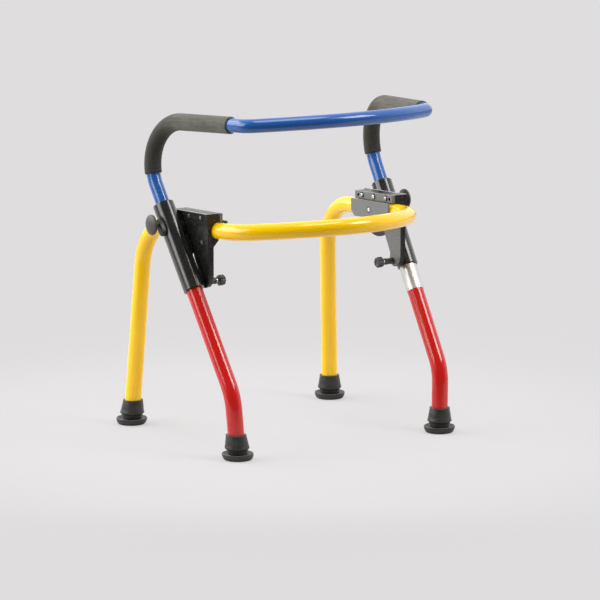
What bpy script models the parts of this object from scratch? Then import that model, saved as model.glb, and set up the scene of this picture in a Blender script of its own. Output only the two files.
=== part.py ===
"""A child's folding walking frame, modelled in Blender as separate solid pieces.

Metres, +Z up, the floor at z = 0, +Y towards the user, -Y the way the user walks.
The frame is mirror symmetric about x = 0. Names say left and right as the user
sees them, so left is at +X. The folding parts stand open.
"""
import math

import bmesh
import bpy
from mathutils import Matrix, Vector

MM = 0.001

# Tube sizes. Every size of a piece that sits on a tube follows from these.
FRAME_TUBE_OD = 25.0 * MM
FRAME_TUBE_WALL = 1.5 * MM
LEG_TUBE_OD = 25.0 * MM
LEG_TUBE_WALL = 1.5 * MM
HANDLE_TUBE_OD = 21.0 * MM
HANDLE_TUBE_WALL = 1.6 * MM
GRIP_FOAM = 2.5 * MM
SLIDE_GAP = 0.4 * MM
FIT_GAP = 0.3 * MM

# The bush that guides the handle post, and the side tube's bore and wall round it.
SIDE_TUBE_LEAN_OUT = 0.03399
SIDE_TUBE_LEAN_BACK = 0.55918
HANDLE_TRAVEL_UP = 35.0 * MM
BUSH_LENGTH = 20.4 * MM
BUSH_SUNK = 0.6 * MM
BUSH_WALL = 0.8 * MM
BUSH_GAP = 0.4 * MM
BUSH_PLAY = HANDLE_TRAVEL_UP * SIDE_TUBE_LEAN_OUT
BORE_STEP_UP = 8.0 * MM
SIDE_TUBE_BORE_R = HANDLE_TUBE_OD / 2 + SLIDE_GAP + BUSH_PLAY + BUSH_WALL + BUSH_GAP
SIDE_TUBE_WALL = 2.71035 * MM
SIDE_TUBE_OD = 2 * (SIDE_TUBE_BORE_R + SIDE_TUBE_WALL)

# Where the legs meet the floor, measured from the middle of the four feet.
REAR_FOOT_X = 182.7 * MM
REAR_FOOT_Y = 154.1 * MM
FRONT_FOOT_X = 181.4 * MM
FRONT_FOOT_Y = -154.0 * MM

# The yellow frame: a rear leg, a rail past each bracket, a bowed front bar.
RAIL_REAR_X = 165.7 * MM
RAIL_REAR_Y = 136.1 * MM
RAIL_REAR_Z = 320.2 * MM
RAIL_FRONT_X = 158.3 * MM
RAIL_FRONT_Y = -109.0 * MM
RAIL_FRONT_Z = 332.0 * MM
FRAME_REAR_BEND = 77.0 * MM
FRAME_CORNER_BEND = 100.0 * MM
FRAME_BOW = 98.9 * MM
FRAME_RISE = 11.8 * MM

# The slanted side tube that holds the handle post above and the leg below.
SIDE_TUBE_GAP = 5.8 * MM
SIDE_TUBE_X = RAIL_FRONT_X + (FRAME_TUBE_OD + SIDE_TUBE_OD) / 2 + SIDE_TUBE_GAP
SIDE_TUBE_Y = -49.7 * MM
SIDE_TUBE_Z = 241.0 * MM
SIDE_TUBE_LENGTH = 144.1 * MM

# The blue handle frame, from the top of the side tube.
HANDLE_RISE = 145.8 * MM
HANDLE_INSERT = 80.0 * MM
HANDLE_REAR_BEND = 65.6 * MM
HANDLE_CORNER_X = 160.6 * MM
HANDLE_CORNER_Y = -147.5 * MM
HANDLE_CORNER_Z = 497.0 * MM
HANDLE_CORNER_BEND = 30.0 * MM
HANDLE_BOW = 56.6 * MM
HANDLE_BOW_RISE = 6.0 * MM
GRIP_START = 50.0 * MM
GRIP_FRONT_MARGIN = 42.0 * MM

# The red front legs.
LEG_INSERT = 45.0 * MM
LEG_STRAIGHT = 176.3 * MM
LEG_BEND = 80.0 * MM
BAND_LENGTH = 41.0 * MM
BAND_START = 1.0 * MM
BAND_THICKNESS = 0.4 * MM

# The rubber feet.
FOOT_BASE_OD = 47.8 * MM
FOOT_CONE_OD = 37.6 * MM
FOOT_NECK_OD = 31.4 * MM
FOOT_RIM_OD = 31.4 * MM
FOOT_HEIGHT = 38.0 * MM
FOOT_SOLE = 5.0 * MM
FOOT_BORE_GAP = 0.5 * MM
LEG_END_Z = 6.8 * MM

# The side brackets.
PIVOT_UP = 103.8 * MM
PIVOT_OD = 8.0 * MM
PIVOT_HEAD_OD = 12.4 * MM
PIVOT_PAD_OD = 24.0 * MM
PIVOT_PAD_PROUD = 0.6 * MM
BRACKET_TUBE_GAP = 1.4 * MM
BRACKET_PLATE = 2.8 * MM
BRACKET_DISC_R = 46.0 * MM
BRACKET_FRONT_Y = -66.0 * MM
TOE_FRONT_UP = 11.4 * MM
BLOCK_REAR_Y = 37.0 * MM
BLOCK_IN = 3.3 * MM
WEB_OUT = 6.7 * MM
WEB_BELOW_TUBE = 3.4 * MM
WEB_CORNER_BELOW = 17.1 * MM
WEB_CORNER_Y = -18.0 * MM
BLOCK_BOTTOM = 4.0 * MM
BLOCK_ABOVE_TUBE = 13.5 * MM
BLOCK_TOP = FRAME_TUBE_OD / 2 + BLOCK_ABOVE_TUBE
PLATE_STEP = 0.5 * MM
CRADLE_REAR_Y = -14.0 * MM
CRADLE_LIP_IN = 2.0 * MM
CRADLE_LIP_BELOW = 1.8 * MM
CRADLE_LIP_RISE = 2.8 * MM
CRADLE_BELOW_TUBE = 12.5 * MM
CAST_CHAMFER = 0.5 * MM
BAR_THICKNESS = 5.4 * MM
BAR_HEIGHT = 12.4 * MM
BAR_ABOVE_TUBE = 7.4 * MM
BAR_UP = FRAME_TUBE_OD / 2 + BAR_ABOVE_TUBE
BAR_HOLE_OD = 5.0 * MM
SADDLE_THICKNESS = 2.8 * MM
SADDLE_HEIGHT = 25.0 * MM
SADDLE_REAR_Y = 41.0 * MM
SADDLE_FRONT_Y = -67.0 * MM
SADDLE_CUT = 9.0 * MM
BAR_SCREW_Y = (17.0 * MM, -15.0 * MM, -48.0 * MM)
BAR_HOLE_Y = (28.2 * MM, -57.9 * MM)
LOW_SCREW_Y = -50.0 * MM
LOW_SCREW_BELOW = 4.7 * MM
LOW_SCREW_DOWN = FRAME_TUBE_OD / 2 + LOW_SCREW_BELOW
SADDLE_SCREW_Y = -11.0 * MM
SCREW_SHANK = 4.0 * MM
SCREW_LENGTH = 14.0 * MM
BAR_SCREW_HEAD = 7.5 * MM
SMALL_SCREW_HEAD = 6.0 * MM
SCREW_HEAD_HEIGHT = 1.8 * MM
SLOT_WIDTH = 1.0 * MM
SLOT_DEPTH = 0.8 * MM

# The two knobs of each side.
CLAMP_BELOW_TOP = 31.8 * MM
CLAMP_UP = SIDE_TUBE_LENGTH - CLAMP_BELOW_TOP
CLAMP_STUD_OD = 6.0 * MM
CLAMP_KNOB_OD = 31.0 * MM
CLAMP_NECK_OD = 10.0 * MM
CLAMP_KNOB_DEPTH = 16.2 * MM
CLAMP_SOCKET = 8.0 * MM
CLAMP_PAD_WIDTH = 13.0 * MM
CLAMP_PAD_ABOVE = 1.5 * MM
CLAMP_PAD_BELOW = 13.5 * MM
CLAMP_PAD_PROUD = 5.1 * MM
LOCK_Y = -45.0 * MM
LOCK_Z = 250.6 * MM
LOCK_PAD_OD = 18.0 * MM
LOCK_PIN_OD = 6.0 * MM
LOCK_SLEEVE_OD = 10.4 * MM
LOCK_SLEEVE_LENGTH = 15.0 * MM
LOCK_KNOB_OD = 16.6 * MM
LOCK_KNOB_LENGTH = 10.0 * MM
LOCK_KNOB_STANDOFF = 4.7 * MM
LOCK_KNOB_LOBES = 8
LOCK_KNOB_FLUTE = 1.2 * MM

TUBE_SIDES = 16
ROUND_SIDES = 28
BEND_STEP = 11.0

# The box of the whole frame is centred on the origin.
FRONT_REACH = FRAME_BOW - RAIL_FRONT_Y + FRAME_TUBE_OD / 2
REAR_REACH = REAR_FOOT_Y + FOOT_BASE_OD / 2
Y_SHIFT = (FRONT_REACH - REAR_REACH) / 2

COLOURS = {
    "yellow": (0.87, 0.55, 0.01, 1.0),
    "blue": (0.02, 0.11, 0.42, 1.0),
    "red": (0.55, 0.03, 0.02, 1.0),
    "black": (0.02, 0.02, 0.02, 1.0),
    "grey": (0.15, 0.15, 0.14, 1.0),
    "foam": (0.09, 0.09, 0.08, 1.0),
    "rubber": (0.03, 0.03, 0.03, 1.0),
    "steel": (0.60, 0.60, 0.58, 1.0),
    "foil": (0.75, 0.75, 0.73, 1.0),
}
METALS = ("steel", "foil")
ROUGHNESS = {"foam": 0.95, "rubber": 0.7, "steel": 0.3, "foil": 0.35}


# Scene, materials and Booleans.
def clear_scene():
    for obj in list(bpy.data.objects):
        bpy.data.objects.remove(obj, do_unlink=True)
    for collection in list(bpy.data.collections):
        bpy.data.collections.remove(collection)


def new_collection(name):
    collection = bpy.data.collections.new(name)
    bpy.context.scene.collection.children.link(collection)
    return collection


clear_scene()
PIECES = new_collection("folding_walker")
CUTTERS = new_collection("cutters")


def material_for(name, colour):
    material = bpy.data.materials.new(name + "_material")
    material.use_nodes = True
    shader = material.node_tree.nodes["Principled BSDF"]
    shader.inputs["Base Color"].default_value = COLOURS[colour]
    shader.inputs["Metallic"].default_value = 1.0 if colour in METALS else 0.0
    shader.inputs["Roughness"].default_value = ROUGHNESS.get(colour, 0.4)
    material.diffuse_color = COLOURS[colour]
    return material


def keep(mesh, name, colour, parent=None):
    """Puts a finished mesh into the scene as a piece with its own material."""
    mesh.name = name
    mesh.materials.clear()
    mesh.materials.append(material_for(name, colour))
    mesh.shade_smooth()
    mesh.set_sharp_from_angle(angle=math.radians(32))
    obj = bpy.data.objects.new(name, mesh)
    PIECES.objects.link(obj)
    if parent:
        obj.parent = parent
        obj.matrix_parent_inverse = parent.matrix_world.inverted()
    return obj


def axis_empty(name, place, parent=None):
    """An empty on a joint's axis, which carries the pieces that move on it."""
    empty = bpy.data.objects.new(name, None)
    empty.empty_display_size = 0.03
    PIECES.objects.link(empty)
    empty.location = place
    bpy.context.view_layer.update()
    if parent:
        empty.parent = parent
        empty.matrix_parent_inverse = parent.matrix_world.inverted()
        bpy.context.view_layer.update()
    return empty


def combine(obj, mesh, name, operation):
    """Adds a mesh to a piece, or takes it away, with an exact Boolean."""
    cutter = bpy.data.objects.new(obj.name + "_" + name, mesh)
    CUTTERS.objects.link(cutter)
    cutter.hide_render = True
    cutter.display_type = "WIRE"
    modifier = obj.modifiers.new(name, "BOOLEAN")
    modifier.operation = operation
    modifier.solver = "EXACT"
    modifier.object = cutter


def cut(obj, mesh, name):
    combine(obj, mesh, name, "DIFFERENCE")


def add(obj, mesh, name):
    combine(obj, mesh, name, "UNION")


# Shapes. Each returns a closed mesh that already lies at its place.
def weld(mesh):
    """Closes the seams of a mesh and turns its faces outward."""
    work = bmesh.new()
    work.from_mesh(mesh)
    bmesh.ops.remove_doubles(work, verts=work.verts, dist=0.002 * MM)
    bmesh.ops.recalc_face_normals(work, faces=work.faces)
    work.to_mesh(mesh)
    work.free()
    return mesh


def placed_mesh(obj, place):
    """The evaluated mesh of a helper object, moved to its place."""
    bpy.context.view_layer.update()
    graph = bpy.context.evaluated_depsgraph_get()
    mesh = bpy.data.meshes.new_from_object(obj.evaluated_get(graph))
    mesh.transform(place)
    bpy.data.objects.remove(obj, do_unlink=True)
    return weld(mesh)


def swept(path, radius, sides):
    """An open pipe along a path of points."""
    data = bpy.data.curves.new("sweep", "CURVE")
    data.dimensions = "3D"
    spline = data.splines.new("POLY")
    spline.points.add(len(path) - 1)
    for point, place in zip(spline.points, path):
        point.co = (place.x, place.y, place.z, 1.0)
    data.bevel_depth = radius
    data.bevel_resolution = (sides - 4) // 2
    obj = bpy.data.objects.new("sweep", data)
    CUTTERS.objects.link(obj)
    return placed_mesh(obj, Matrix.Identity(4))


def hollow(obj, wall):
    """Gives an open pipe its wall, inward."""
    modifier = obj.modifiers.new("wall", "SOLIDIFY")
    modifier.thickness = wall
    modifier.offset = -1.0
    modifier.use_even_offset = True
    modifier.use_rim = True


def flat_shape(outline, thickness, place, edge=0.0):
    """A flat outline drawn as a 2D curve and extruded, with a chamfer if given."""
    data = bpy.data.curves.new("outline", "CURVE")
    data.dimensions = "2D"
    data.fill_mode = "BOTH"
    spline = data.splines.new("POLY")
    spline.points.add(len(outline) - 1)
    for point, corner in zip(spline.points, outline):
        point.co = (corner[0], corner[1], 0.0, 1.0)
    spline.use_cyclic_u = True
    data.extrude = thickness / 2 - edge
    data.bevel_depth = edge
    data.bevel_resolution = 0
    data.offset = -edge
    obj = bpy.data.objects.new("outline", data)
    CUTTERS.objects.link(obj)
    return placed_mesh(obj, place)


def one_face_caps(mesh):
    """Turns each flat fan of triangles round a pole into one face."""
    work = bmesh.new()
    work.from_mesh(mesh)
    poles = []
    for vert in work.verts:
        normals = [face.normal for face in vert.link_faces]
        if len(normals) >= 8 and min(normals[0].dot(other) for other in normals) > 0.99999:
            poles.append(vert)
    bmesh.ops.dissolve_verts(work, verts=poles)
    work.to_mesh(mesh)
    work.free()
    return mesh


def turned(profile, steps, place, ring=False):
    """A turned solid from a profile of radius and height, listed top to bottom."""
    mesh = bpy.data.meshes.new("profile")
    edges = [(i, i + 1) for i in range(len(profile) - 1)]
    if ring:
        edges.append((len(profile) - 1, 0))
    mesh.from_pydata([(r, 0.0, z) for r, z in profile], edges, [])
    obj = bpy.data.objects.new("profile", mesh)
    CUTTERS.objects.link(obj)
    screw = obj.modifiers.new("turn", "SCREW")
    screw.axis = "Z"
    screw.angle = math.tau
    screw.steps = steps
    screw.render_steps = steps
    screw.use_merge_vertices = True
    screw.merge_threshold = 0.00002
    return one_face_caps(placed_mesh(obj, place))


def facing(origin, direction):
    """Places local +Z along a direction from an origin."""
    turn = Vector(direction).to_track_quat("Z", "Y").to_matrix().to_4x4()
    return Matrix.Translation(origin) @ turn


def rod(start, end, radius, sides):
    """A plain round bar between two points."""
    length = (end - start).length
    profile = [(0.0, length), (radius, length), (radius, 0.0), (0.0, 0.0)]
    return turned(profile, sides, facing(start, end - start))


def on_side(side, x, per_y=0.0, per_z=0.0, level=0.0):
    """Places local x, y and z along the scene's Y, Z and away from x = 0.

    The outline can lean: per_y and per_z move it out for each metre of Y and Z.
    """
    return Matrix((
        (side * per_y, side * per_z, side, side * (x - per_z * level)),
        (1.0, 0.0, 0.0, Y_SHIFT),
        (0.0, 1.0, 0.0, 0.0),
        (0.0, 0.0, 0.0, 1.0),
    ))


def cross_rod(side, x_from, x_to, y, z, radius, sides=12):
    """A round bar along X between two distances from the middle plane."""
    return rod(at(side * x_from, y, z), at(side * x_to, y, z), radius, sides)


# Paths.
def at(x, y, z):
    """A point given from the middle of the four feet, as a point of the scene."""
    return Vector((x, y + Y_SHIFT, z))


def rounded(points, radii):
    """Bends a path of straight runs round its corners, each with its own radius."""
    path = [points[0]]
    for before, corner, after, radius in zip(points, points[1:], points[2:], radii):
        if radius == 0.0:
            path.append(corner)
            continue
        back = (before - corner).normalized()
        ahead = (after - corner).normalized()
        inside = back.angle(ahead)
        reach = radius / math.tan(inside / 2)
        first = corner + back * reach
        last = corner + ahead * reach
        centre = corner + (back + ahead).normalized() * (radius / math.sin(inside / 2))
        turn = math.pi - inside
        count = max(2, round(math.degrees(turn) / BEND_STEP))
        for i in range(count + 1):
            arm = (first - centre) * math.sin((1 - i / count) * turn)
            arm += (last - centre) * math.sin(i / count * turn)
            path.append(centre + arm / math.sin(turn))
    path.append(points[-1])
    return path


def bowed(corner, bow, rise):
    """Points of a front bar that bows forward from its corner to the middle."""
    points = []
    for share in (0.72, 0.56, 0.42, 0.28, 0.14, 0.0):
        out = 1 - share * share
        points.append(Vector((corner.x * share, corner.y - bow * out, corner.z + rise * out)))
    return points


def both_halves(half):
    """Joins a half path that ends on x = 0 to its mirror image."""
    return half + [Vector((-p.x, p.y, p.z)) for p in reversed(half[:-1])]


def stretch_of(path, start, length):
    """The stretch of a path that begins and ends at given distances along it."""
    stretch = []
    gone = 0.0
    end = start + length
    for a, b in zip(path, path[1:]):
        step = (b - a).length
        if gone <= start < gone + step:
            stretch.append(a.lerp(b, (start - gone) / step))
        elif start + MM < gone < end - MM:
            stretch.append(a.copy())
        if gone < end <= gone + step:
            stretch.append(a.lerp(b, (end - gone) / step))
        gone += step
    return stretch


# Lines and faces that several pieces share.
def side_word(side):
    return "left" if side > 0 else "right"


def rail_point(side, y):
    """The middle of the rail at a distance y from the middle of the feet."""
    share = (y - RAIL_FRONT_Y) / (RAIL_REAR_Y - RAIL_FRONT_Y)
    x = RAIL_FRONT_X + (RAIL_REAR_X - RAIL_FRONT_X) * share
    z = RAIL_FRONT_Z + (RAIL_REAR_Z - RAIL_FRONT_Z) * share
    return at(side * x, y, z)


def rail_strip(y_front, y_rear, low, high):
    """A four-cornered outline that runs along the rail, low to high from its middle."""
    front = rail_point(1, y_front).z
    rear = rail_point(1, y_rear).z
    return [
        (y_front, front + low),
        (y_rear, rear + low),
        (y_rear, rear + high),
        (y_front, front + high),
    ]


def side_axis(side):
    """The direction of a side tube, upward."""
    up = math.sqrt(1 - SIDE_TUBE_LEAN_OUT**2 - SIDE_TUBE_LEAN_BACK**2)
    return Vector((side * SIDE_TUBE_LEAN_OUT, SIDE_TUBE_LEAN_BACK, up))


def side_point(side, distance):
    """A point of a side tube's axis, at a distance up from its lower end."""
    return at(side * SIDE_TUBE_X, SIDE_TUBE_Y, SIDE_TUBE_Z) + side_axis(side) * distance


def tube_x_at(z):
    """Distance of a side tube's axis from the middle plane, at a height."""
    axis = side_axis(1)
    return SIDE_TUBE_X + axis.x / axis.z * (z - SIDE_TUBE_Z)


def plate_outer_at(z):
    """Distance of a bracket's outer face from the middle plane, at a height."""
    return tube_x_at(z) - SIDE_TUBE_OD / 2 - BRACKET_TUBE_GAP


def block_inner_x():
    """Distance of the inner face of the bracket's block from the middle plane."""
    return rail_point(1, SADDLE_SCREW_Y).x - BLOCK_IN


def web_inner_x():
    """Distance of the inner face of the bracket's web from the middle plane."""
    return rail_point(1, SADDLE_SCREW_Y).x + WEB_OUT


def pivot_y():
    return side_point(1, PIVOT_UP).y - Y_SHIFT


def pivot_z():
    return side_point(1, PIVOT_UP).z


def pad_face_at(z):
    """Distance of the side tube's inner pads' faces from the middle plane."""
    return tube_x_at(z) - SIDE_TUBE_OD / 2 - PIVOT_PAD_PROUD


# The yellow frame, and what stands on the floor.
def make_lower_frame():
    corner = rail_point(1, RAIL_FRONT_Y)
    rear = rail_point(1, RAIL_REAR_Y)
    foot = at(REAR_FOOT_X, REAR_FOOT_Y, 0.0)
    end = foot.lerp(rear, LEG_END_Z / rear.z)
    bow = bowed(corner, FRAME_BOW, FRAME_RISE)
    radii = [FRAME_REAR_BEND, FRAME_CORNER_BEND] + [0.0] * (len(bow) - 1)
    path = both_halves(rounded([end, rear, corner] + bow, radii))
    obj = keep(swept(path, FRAME_TUBE_OD / 2, TUBE_SIDES), "lower_frame", "yellow")
    hollow(obj, FRAME_TUBE_WALL)
    for side in (1, -1):
        rail = rail_point(1, SADDLE_SCREW_Y)
        inner = rail.x - FRAME_TUBE_OD
        radius = SCREW_SHANK / 2 + FIT_GAP
        hole = cross_rod(side, inner, rail.x, SADDLE_SCREW_Y, rail.z, radius)
        cut(obj, hole, "screw_hole_" + side_word(side))


def make_foot(name, foot, above, tube_od, parent=None):
    """A rubber foot, flat on the floor, whose socket follows the leg above it."""
    base = FOOT_BASE_OD / 2
    cone = FOOT_CONE_OD / 2
    neck = FOOT_NECK_OD / 2
    bore = tube_od / 2 + FOOT_BORE_GAP
    high = FOOT_HEIGHT
    profile = [
        (0.0, FOOT_SOLE),
        (bore, FOOT_SOLE),
        (bore, high),
        (FOOT_RIM_OD / 2, high),
        (cone, high * 0.52),
        (cone - 0.6 * MM, high * 0.46),
        (neck, high * 0.33),
        (neck, high * 0.24),
        (neck + 2.2 * MM, high * 0.22),
        (base - 2.6 * MM, high * 0.275),
        (base - 0.8 * MM, high * 0.22),
        (base, high * 0.15),
        (base - 1.2 * MM, high * 0.05),
        (base - 2.8 * MM, 0.0),
        (0.0, 0.0),
    ]
    mesh = turned(profile, 22, Matrix.Identity(4))
    lean_x = (above.x - foot.x) / above.z
    lean_y = (above.y - foot.y) / above.z
    mesh.transform(Matrix((
        (1.0, 0.0, lean_x, foot.x),
        (0.0, 1.0, lean_y, foot.y),
        (0.0, 0.0, 1.0, 0.0),
        (0.0, 0.0, 0.0, 1.0),
    )))
    return keep(mesh, name, "rubber", parent)


# The brackets.
def toe_outline():
    """The bracket's lower front toe, from its front edge round to its rear edge."""
    from_pin = [
        (-18.0, -0.6), (-11.0, -7.1), (-2.0, -9.1), (6.5, -5.1), (9.5, 2.4),
        (7.5, 11.4), (13.0, 21.4), (20.5, 34.4),
    ]
    corners = [(BRACKET_FRONT_Y, LOCK_Z + TOE_FRONT_UP)]
    return corners + [(LOCK_Y + y * MM, LOCK_Z + z * MM) for y, z in from_pin]


def plate_outline():
    """The whole bracket seen from the side: front, toe, hinge disc, sloping top."""
    front_top = rail_point(1, BRACKET_FRONT_Y).z + BLOCK_TOP + PLATE_STEP
    outline = [(BRACKET_FRONT_Y, front_top)] + toe_outline()
    for degrees in range(-132, 32, 9):
        angle = math.radians(degrees)
        y = pivot_y() + BRACKET_DISC_R * math.cos(angle)
        z = pivot_z() + BRACKET_DISC_R * math.sin(angle)
        outline.append((y, z))
    rear_top = rail_point(1, outline[-1][0]).z + BLOCK_TOP + PLATE_STEP
    outline.append((outline[-1][0] - 1.5 * MM, rear_top))
    return outline


def inset(outline, distance):
    """An anticlockwise outline moved inward by a distance."""
    corners = [Vector(corner) for corner in outline]
    moved = []
    for before, corner, after in zip([corners[-1]] + corners, corners, corners[1:] + corners[:1]):
        first = (corner - before).normalized()
        second = (after - corner).normalized()
        first_in = Vector((-first.y, first.x))
        second_in = Vector((-second.y, second.x))
        mitre = (first_in + second_in) / (1 + first_in.dot(second_in))
        moved.append(tuple(corner + mitre * distance))
    return moved


def lean_of_plate():
    axis = side_axis(1)
    return axis.x / axis.z


def make_bracket(side):
    """A casting: hinge plate outside, block over the rail, cradle and toe below."""
    name = "side_bracket_" + side_word(side)
    middle = plate_outer_at(pivot_z()) - BRACKET_PLATE / 2
    lean = lean_of_plate()
    place = on_side(side, middle, 0.0, lean, pivot_z())
    obj = keep(flat_shape(plate_outline(), BRACKET_PLATE, place, CAST_CHAMFER), name, "black")

    web_top = rail_point(1, BRACKET_FRONT_Y).z - 9.0 * MM
    web = [(BRACKET_FRONT_Y, web_top)] + toe_outline()
    under = FRAME_TUBE_OD / 2
    corner_z = rail_point(1, WEB_CORNER_Y).z - under - WEB_CORNER_BELOW
    rear_z = rail_point(1, CRADLE_REAR_Y).z - under - WEB_BELOW_TUBE
    web += [(WEB_CORNER_Y, corner_z), (CRADLE_REAR_Y, rear_z), (CRADLE_REAR_Y, web_top)]
    web = inset(web, 0.6 * MM)
    web_outer = plate_outer_at(LOCK_Z) - BRACKET_PLATE / 2
    web_inner = web_inner_x()
    width = web_outer - web_inner
    place = on_side(side, web_inner + width / 2)
    add(obj, flat_shape(web, width, place), "web")

    block_outer = middle
    block_inner = block_inner_x()
    width = block_outer - block_inner
    place = on_side(side, block_inner + width / 2)
    front = BRACKET_FRONT_Y + 0.6 * MM
    block = rail_strip(front, BLOCK_REAR_Y, BLOCK_BOTTOM, BLOCK_TOP)
    add(obj, flat_shape(block, width, place), "block")

    add(obj, cradle(side, front - 0.2 * MM, CRADLE_REAR_Y - 0.4 * MM, middle), "cradle")

    start = rail_point(side, -90.0 * MM)
    end = rail_point(side, 80.0 * MM)
    rail = rod(start, end, FRAME_TUBE_OD / 2 + FIT_GAP, ROUND_SIDES)
    cut(obj, rail, "rail")

    radius = PIVOT_OD / 2 + FIT_GAP
    hole = cross_rod(side, middle - 8 * MM, middle + 8 * MM, pivot_y(), pivot_z(), radius, 16)
    cut(obj, hole, "pivot_hole")
    radius = PIVOT_HEAD_OD / 2 + FIT_GAP
    sink = cross_rod(side, middle - 6 * MM, middle + 0.2 * MM, pivot_y(), pivot_z(), radius, 16)
    cut(obj, sink, "pivot_sink")
    radius = LOCK_PIN_OD / 2 + SLIDE_GAP
    start = web_inner - 8 * MM
    end = plate_outer_at(LOCK_Z) + 6 * MM
    cut(obj, cross_rod(side, start, end, LOCK_Y, LOCK_Z, radius, 14), "lock_hole")

    radius = SCREW_SHANK / 2 + FIT_GAP
    for i, y in enumerate(BAR_SCREW_Y):
        z = rail_point(1, y).z + BAR_UP
        start = block_inner - 8 * MM
        end = block_inner + SCREW_LENGTH - BAR_THICKNESS + FIT_GAP
        cut(obj, cross_rod(side, start, end, y, z, radius, 10), "bar_hole_%d" % i)
    for i, (y, z) in enumerate(outer_screw_places()):
        start = plate_outer_at(z) - outer_screw_depth() - FIT_GAP
        end = plate_outer_at(z) + 8 * MM
        cut(obj, cross_rod(side, start, end, y, z, radius, 10), "outer_hole_%d" % i)


def cradle(side, y_front, y_rear, x_outer):
    """The lip under the rail, a bar along the rail whose section is drawn in X and Z."""
    lip_x = rail_point(1, SADDLE_SCREW_Y).x - CRADLE_LIP_IN
    lip_z = -FRAME_TUBE_OD / 2 - CRADLE_LIP_BELOW
    bottom = -FRAME_TUBE_OD / 2 - CRADLE_BELOW_TUBE
    section = [
        (lip_x, lip_z),
        (web_inner_x() + 0.8 * MM, bottom),
        (x_outer, bottom),
        (x_outer, BLOCK_BOTTOM + 4.0 * MM),
        (lip_x + 8.0 * MM, BLOCK_BOTTOM + 4.0 * MM),
        (lip_x, lip_z + CRADLE_LIP_RISE),
    ]
    front = rail_point(1, y_front)
    rear = rail_point(1, y_rear)
    slope = (rear.z - front.z) / (y_rear - y_front)
    middle_y = (y_front + y_rear) / 2
    middle_z = (front.z + rear.z) / 2
    place = Matrix((
        (side, 0.0, 0.0, 0.0),
        (0.0, 0.0, 1.0, middle_y + Y_SHIFT),
        (0.0, 1.0, slope, middle_z),
        (0.0, 0.0, 0.0, 1.0),
    ))
    return flat_shape(section, y_rear - y_front, place)


def outer_screw_places():
    """The screws in the bracket's outer face, as Y and Z."""
    places = []
    for y in BAR_SCREW_Y[1:]:
        places.append((y, rail_point(1, y).z + BAR_UP))
    places.append((LOW_SCREW_Y, rail_point(1, LOW_SCREW_Y).z - LOW_SCREW_DOWN))
    return places


def outer_screw_depth():
    return SCREW_LENGTH / 2


def make_screw(name, side, x_face, y, z, length, head_od, inward, slotted, parent=None):
    """A screw along X. Its head stands on a face, and its shank goes in from there."""
    away = -1.0 if inward else 1.0
    head = head_od / 2
    shank = SCREW_SHANK / 2
    top = SCREW_HEAD_HEIGHT
    profile = [
        (0.0, top),
        (head * 0.72, top),
        (head, top * 0.55),
        (head, 0.0),
        (shank, 0.0),
        (shank, -length),
        (0.0, -length),
    ]
    seat = at(side * (x_face + away * FIT_GAP), y, z)
    place = facing(seat, (side * away, 0.0, 0.0))
    obj = keep(turned(profile, 12, place), name, "steel" if inward else "black", parent)
    if slotted:
        outer = head_od
        x = x_face + away * (FIT_GAP + top + SLOT_DEPTH)
        slot = [
            (y - outer, z - SLOT_WIDTH / 2),
            (y + outer, z - SLOT_WIDTH / 2),
            (y + outer, z + SLOT_WIDTH / 2),
            (y - outer, z + SLOT_WIDTH / 2),
        ]
        cut(obj, flat_shape(slot, SLOT_DEPTH * 4, on_side(side, x)), "slot")
    return obj


def make_clamp_bar(side):
    """The flat bar screwed to the inner side of the bracket's block."""
    word = side_word(side)
    outer = block_inner_x() - FIT_GAP
    place = on_side(side, outer - BAR_THICKNESS / 2)
    low = BAR_UP - BAR_HEIGHT / 2
    strip = rail_strip(BRACKET_FRONT_Y, BLOCK_REAR_Y, low, low + BAR_HEIGHT)
    obj = keep(flat_shape(strip, BAR_THICKNESS, place, CAST_CHAMFER), "clamp_bar_" + word, "grey")
    inner = outer - BAR_THICKNESS
    for i, y in enumerate(BAR_SCREW_Y):
        z = rail_point(1, y).z + BAR_UP
        radius = SCREW_SHANK / 2 + FIT_GAP
        hole = cross_rod(side, inner - 2 * MM, outer + 2 * MM, y, z, radius, 10)
        cut(obj, hole, "screw_hole_%d" % i)
        screw = "bar_screw_%s_%d" % (word, i + 1)
        length = SCREW_LENGTH
        make_screw(screw, side, inner, y, z, length, BAR_SCREW_HEAD, True, True)
    for i, y in enumerate(BAR_HOLE_Y):
        z = rail_point(1, y).z + BAR_UP
        hole = cross_rod(side, inner - 2 * MM, outer + 2 * MM, y, z, BAR_HOLE_OD / 2, 12)
        cut(obj, hole, "end_hole_%d" % i)


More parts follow.
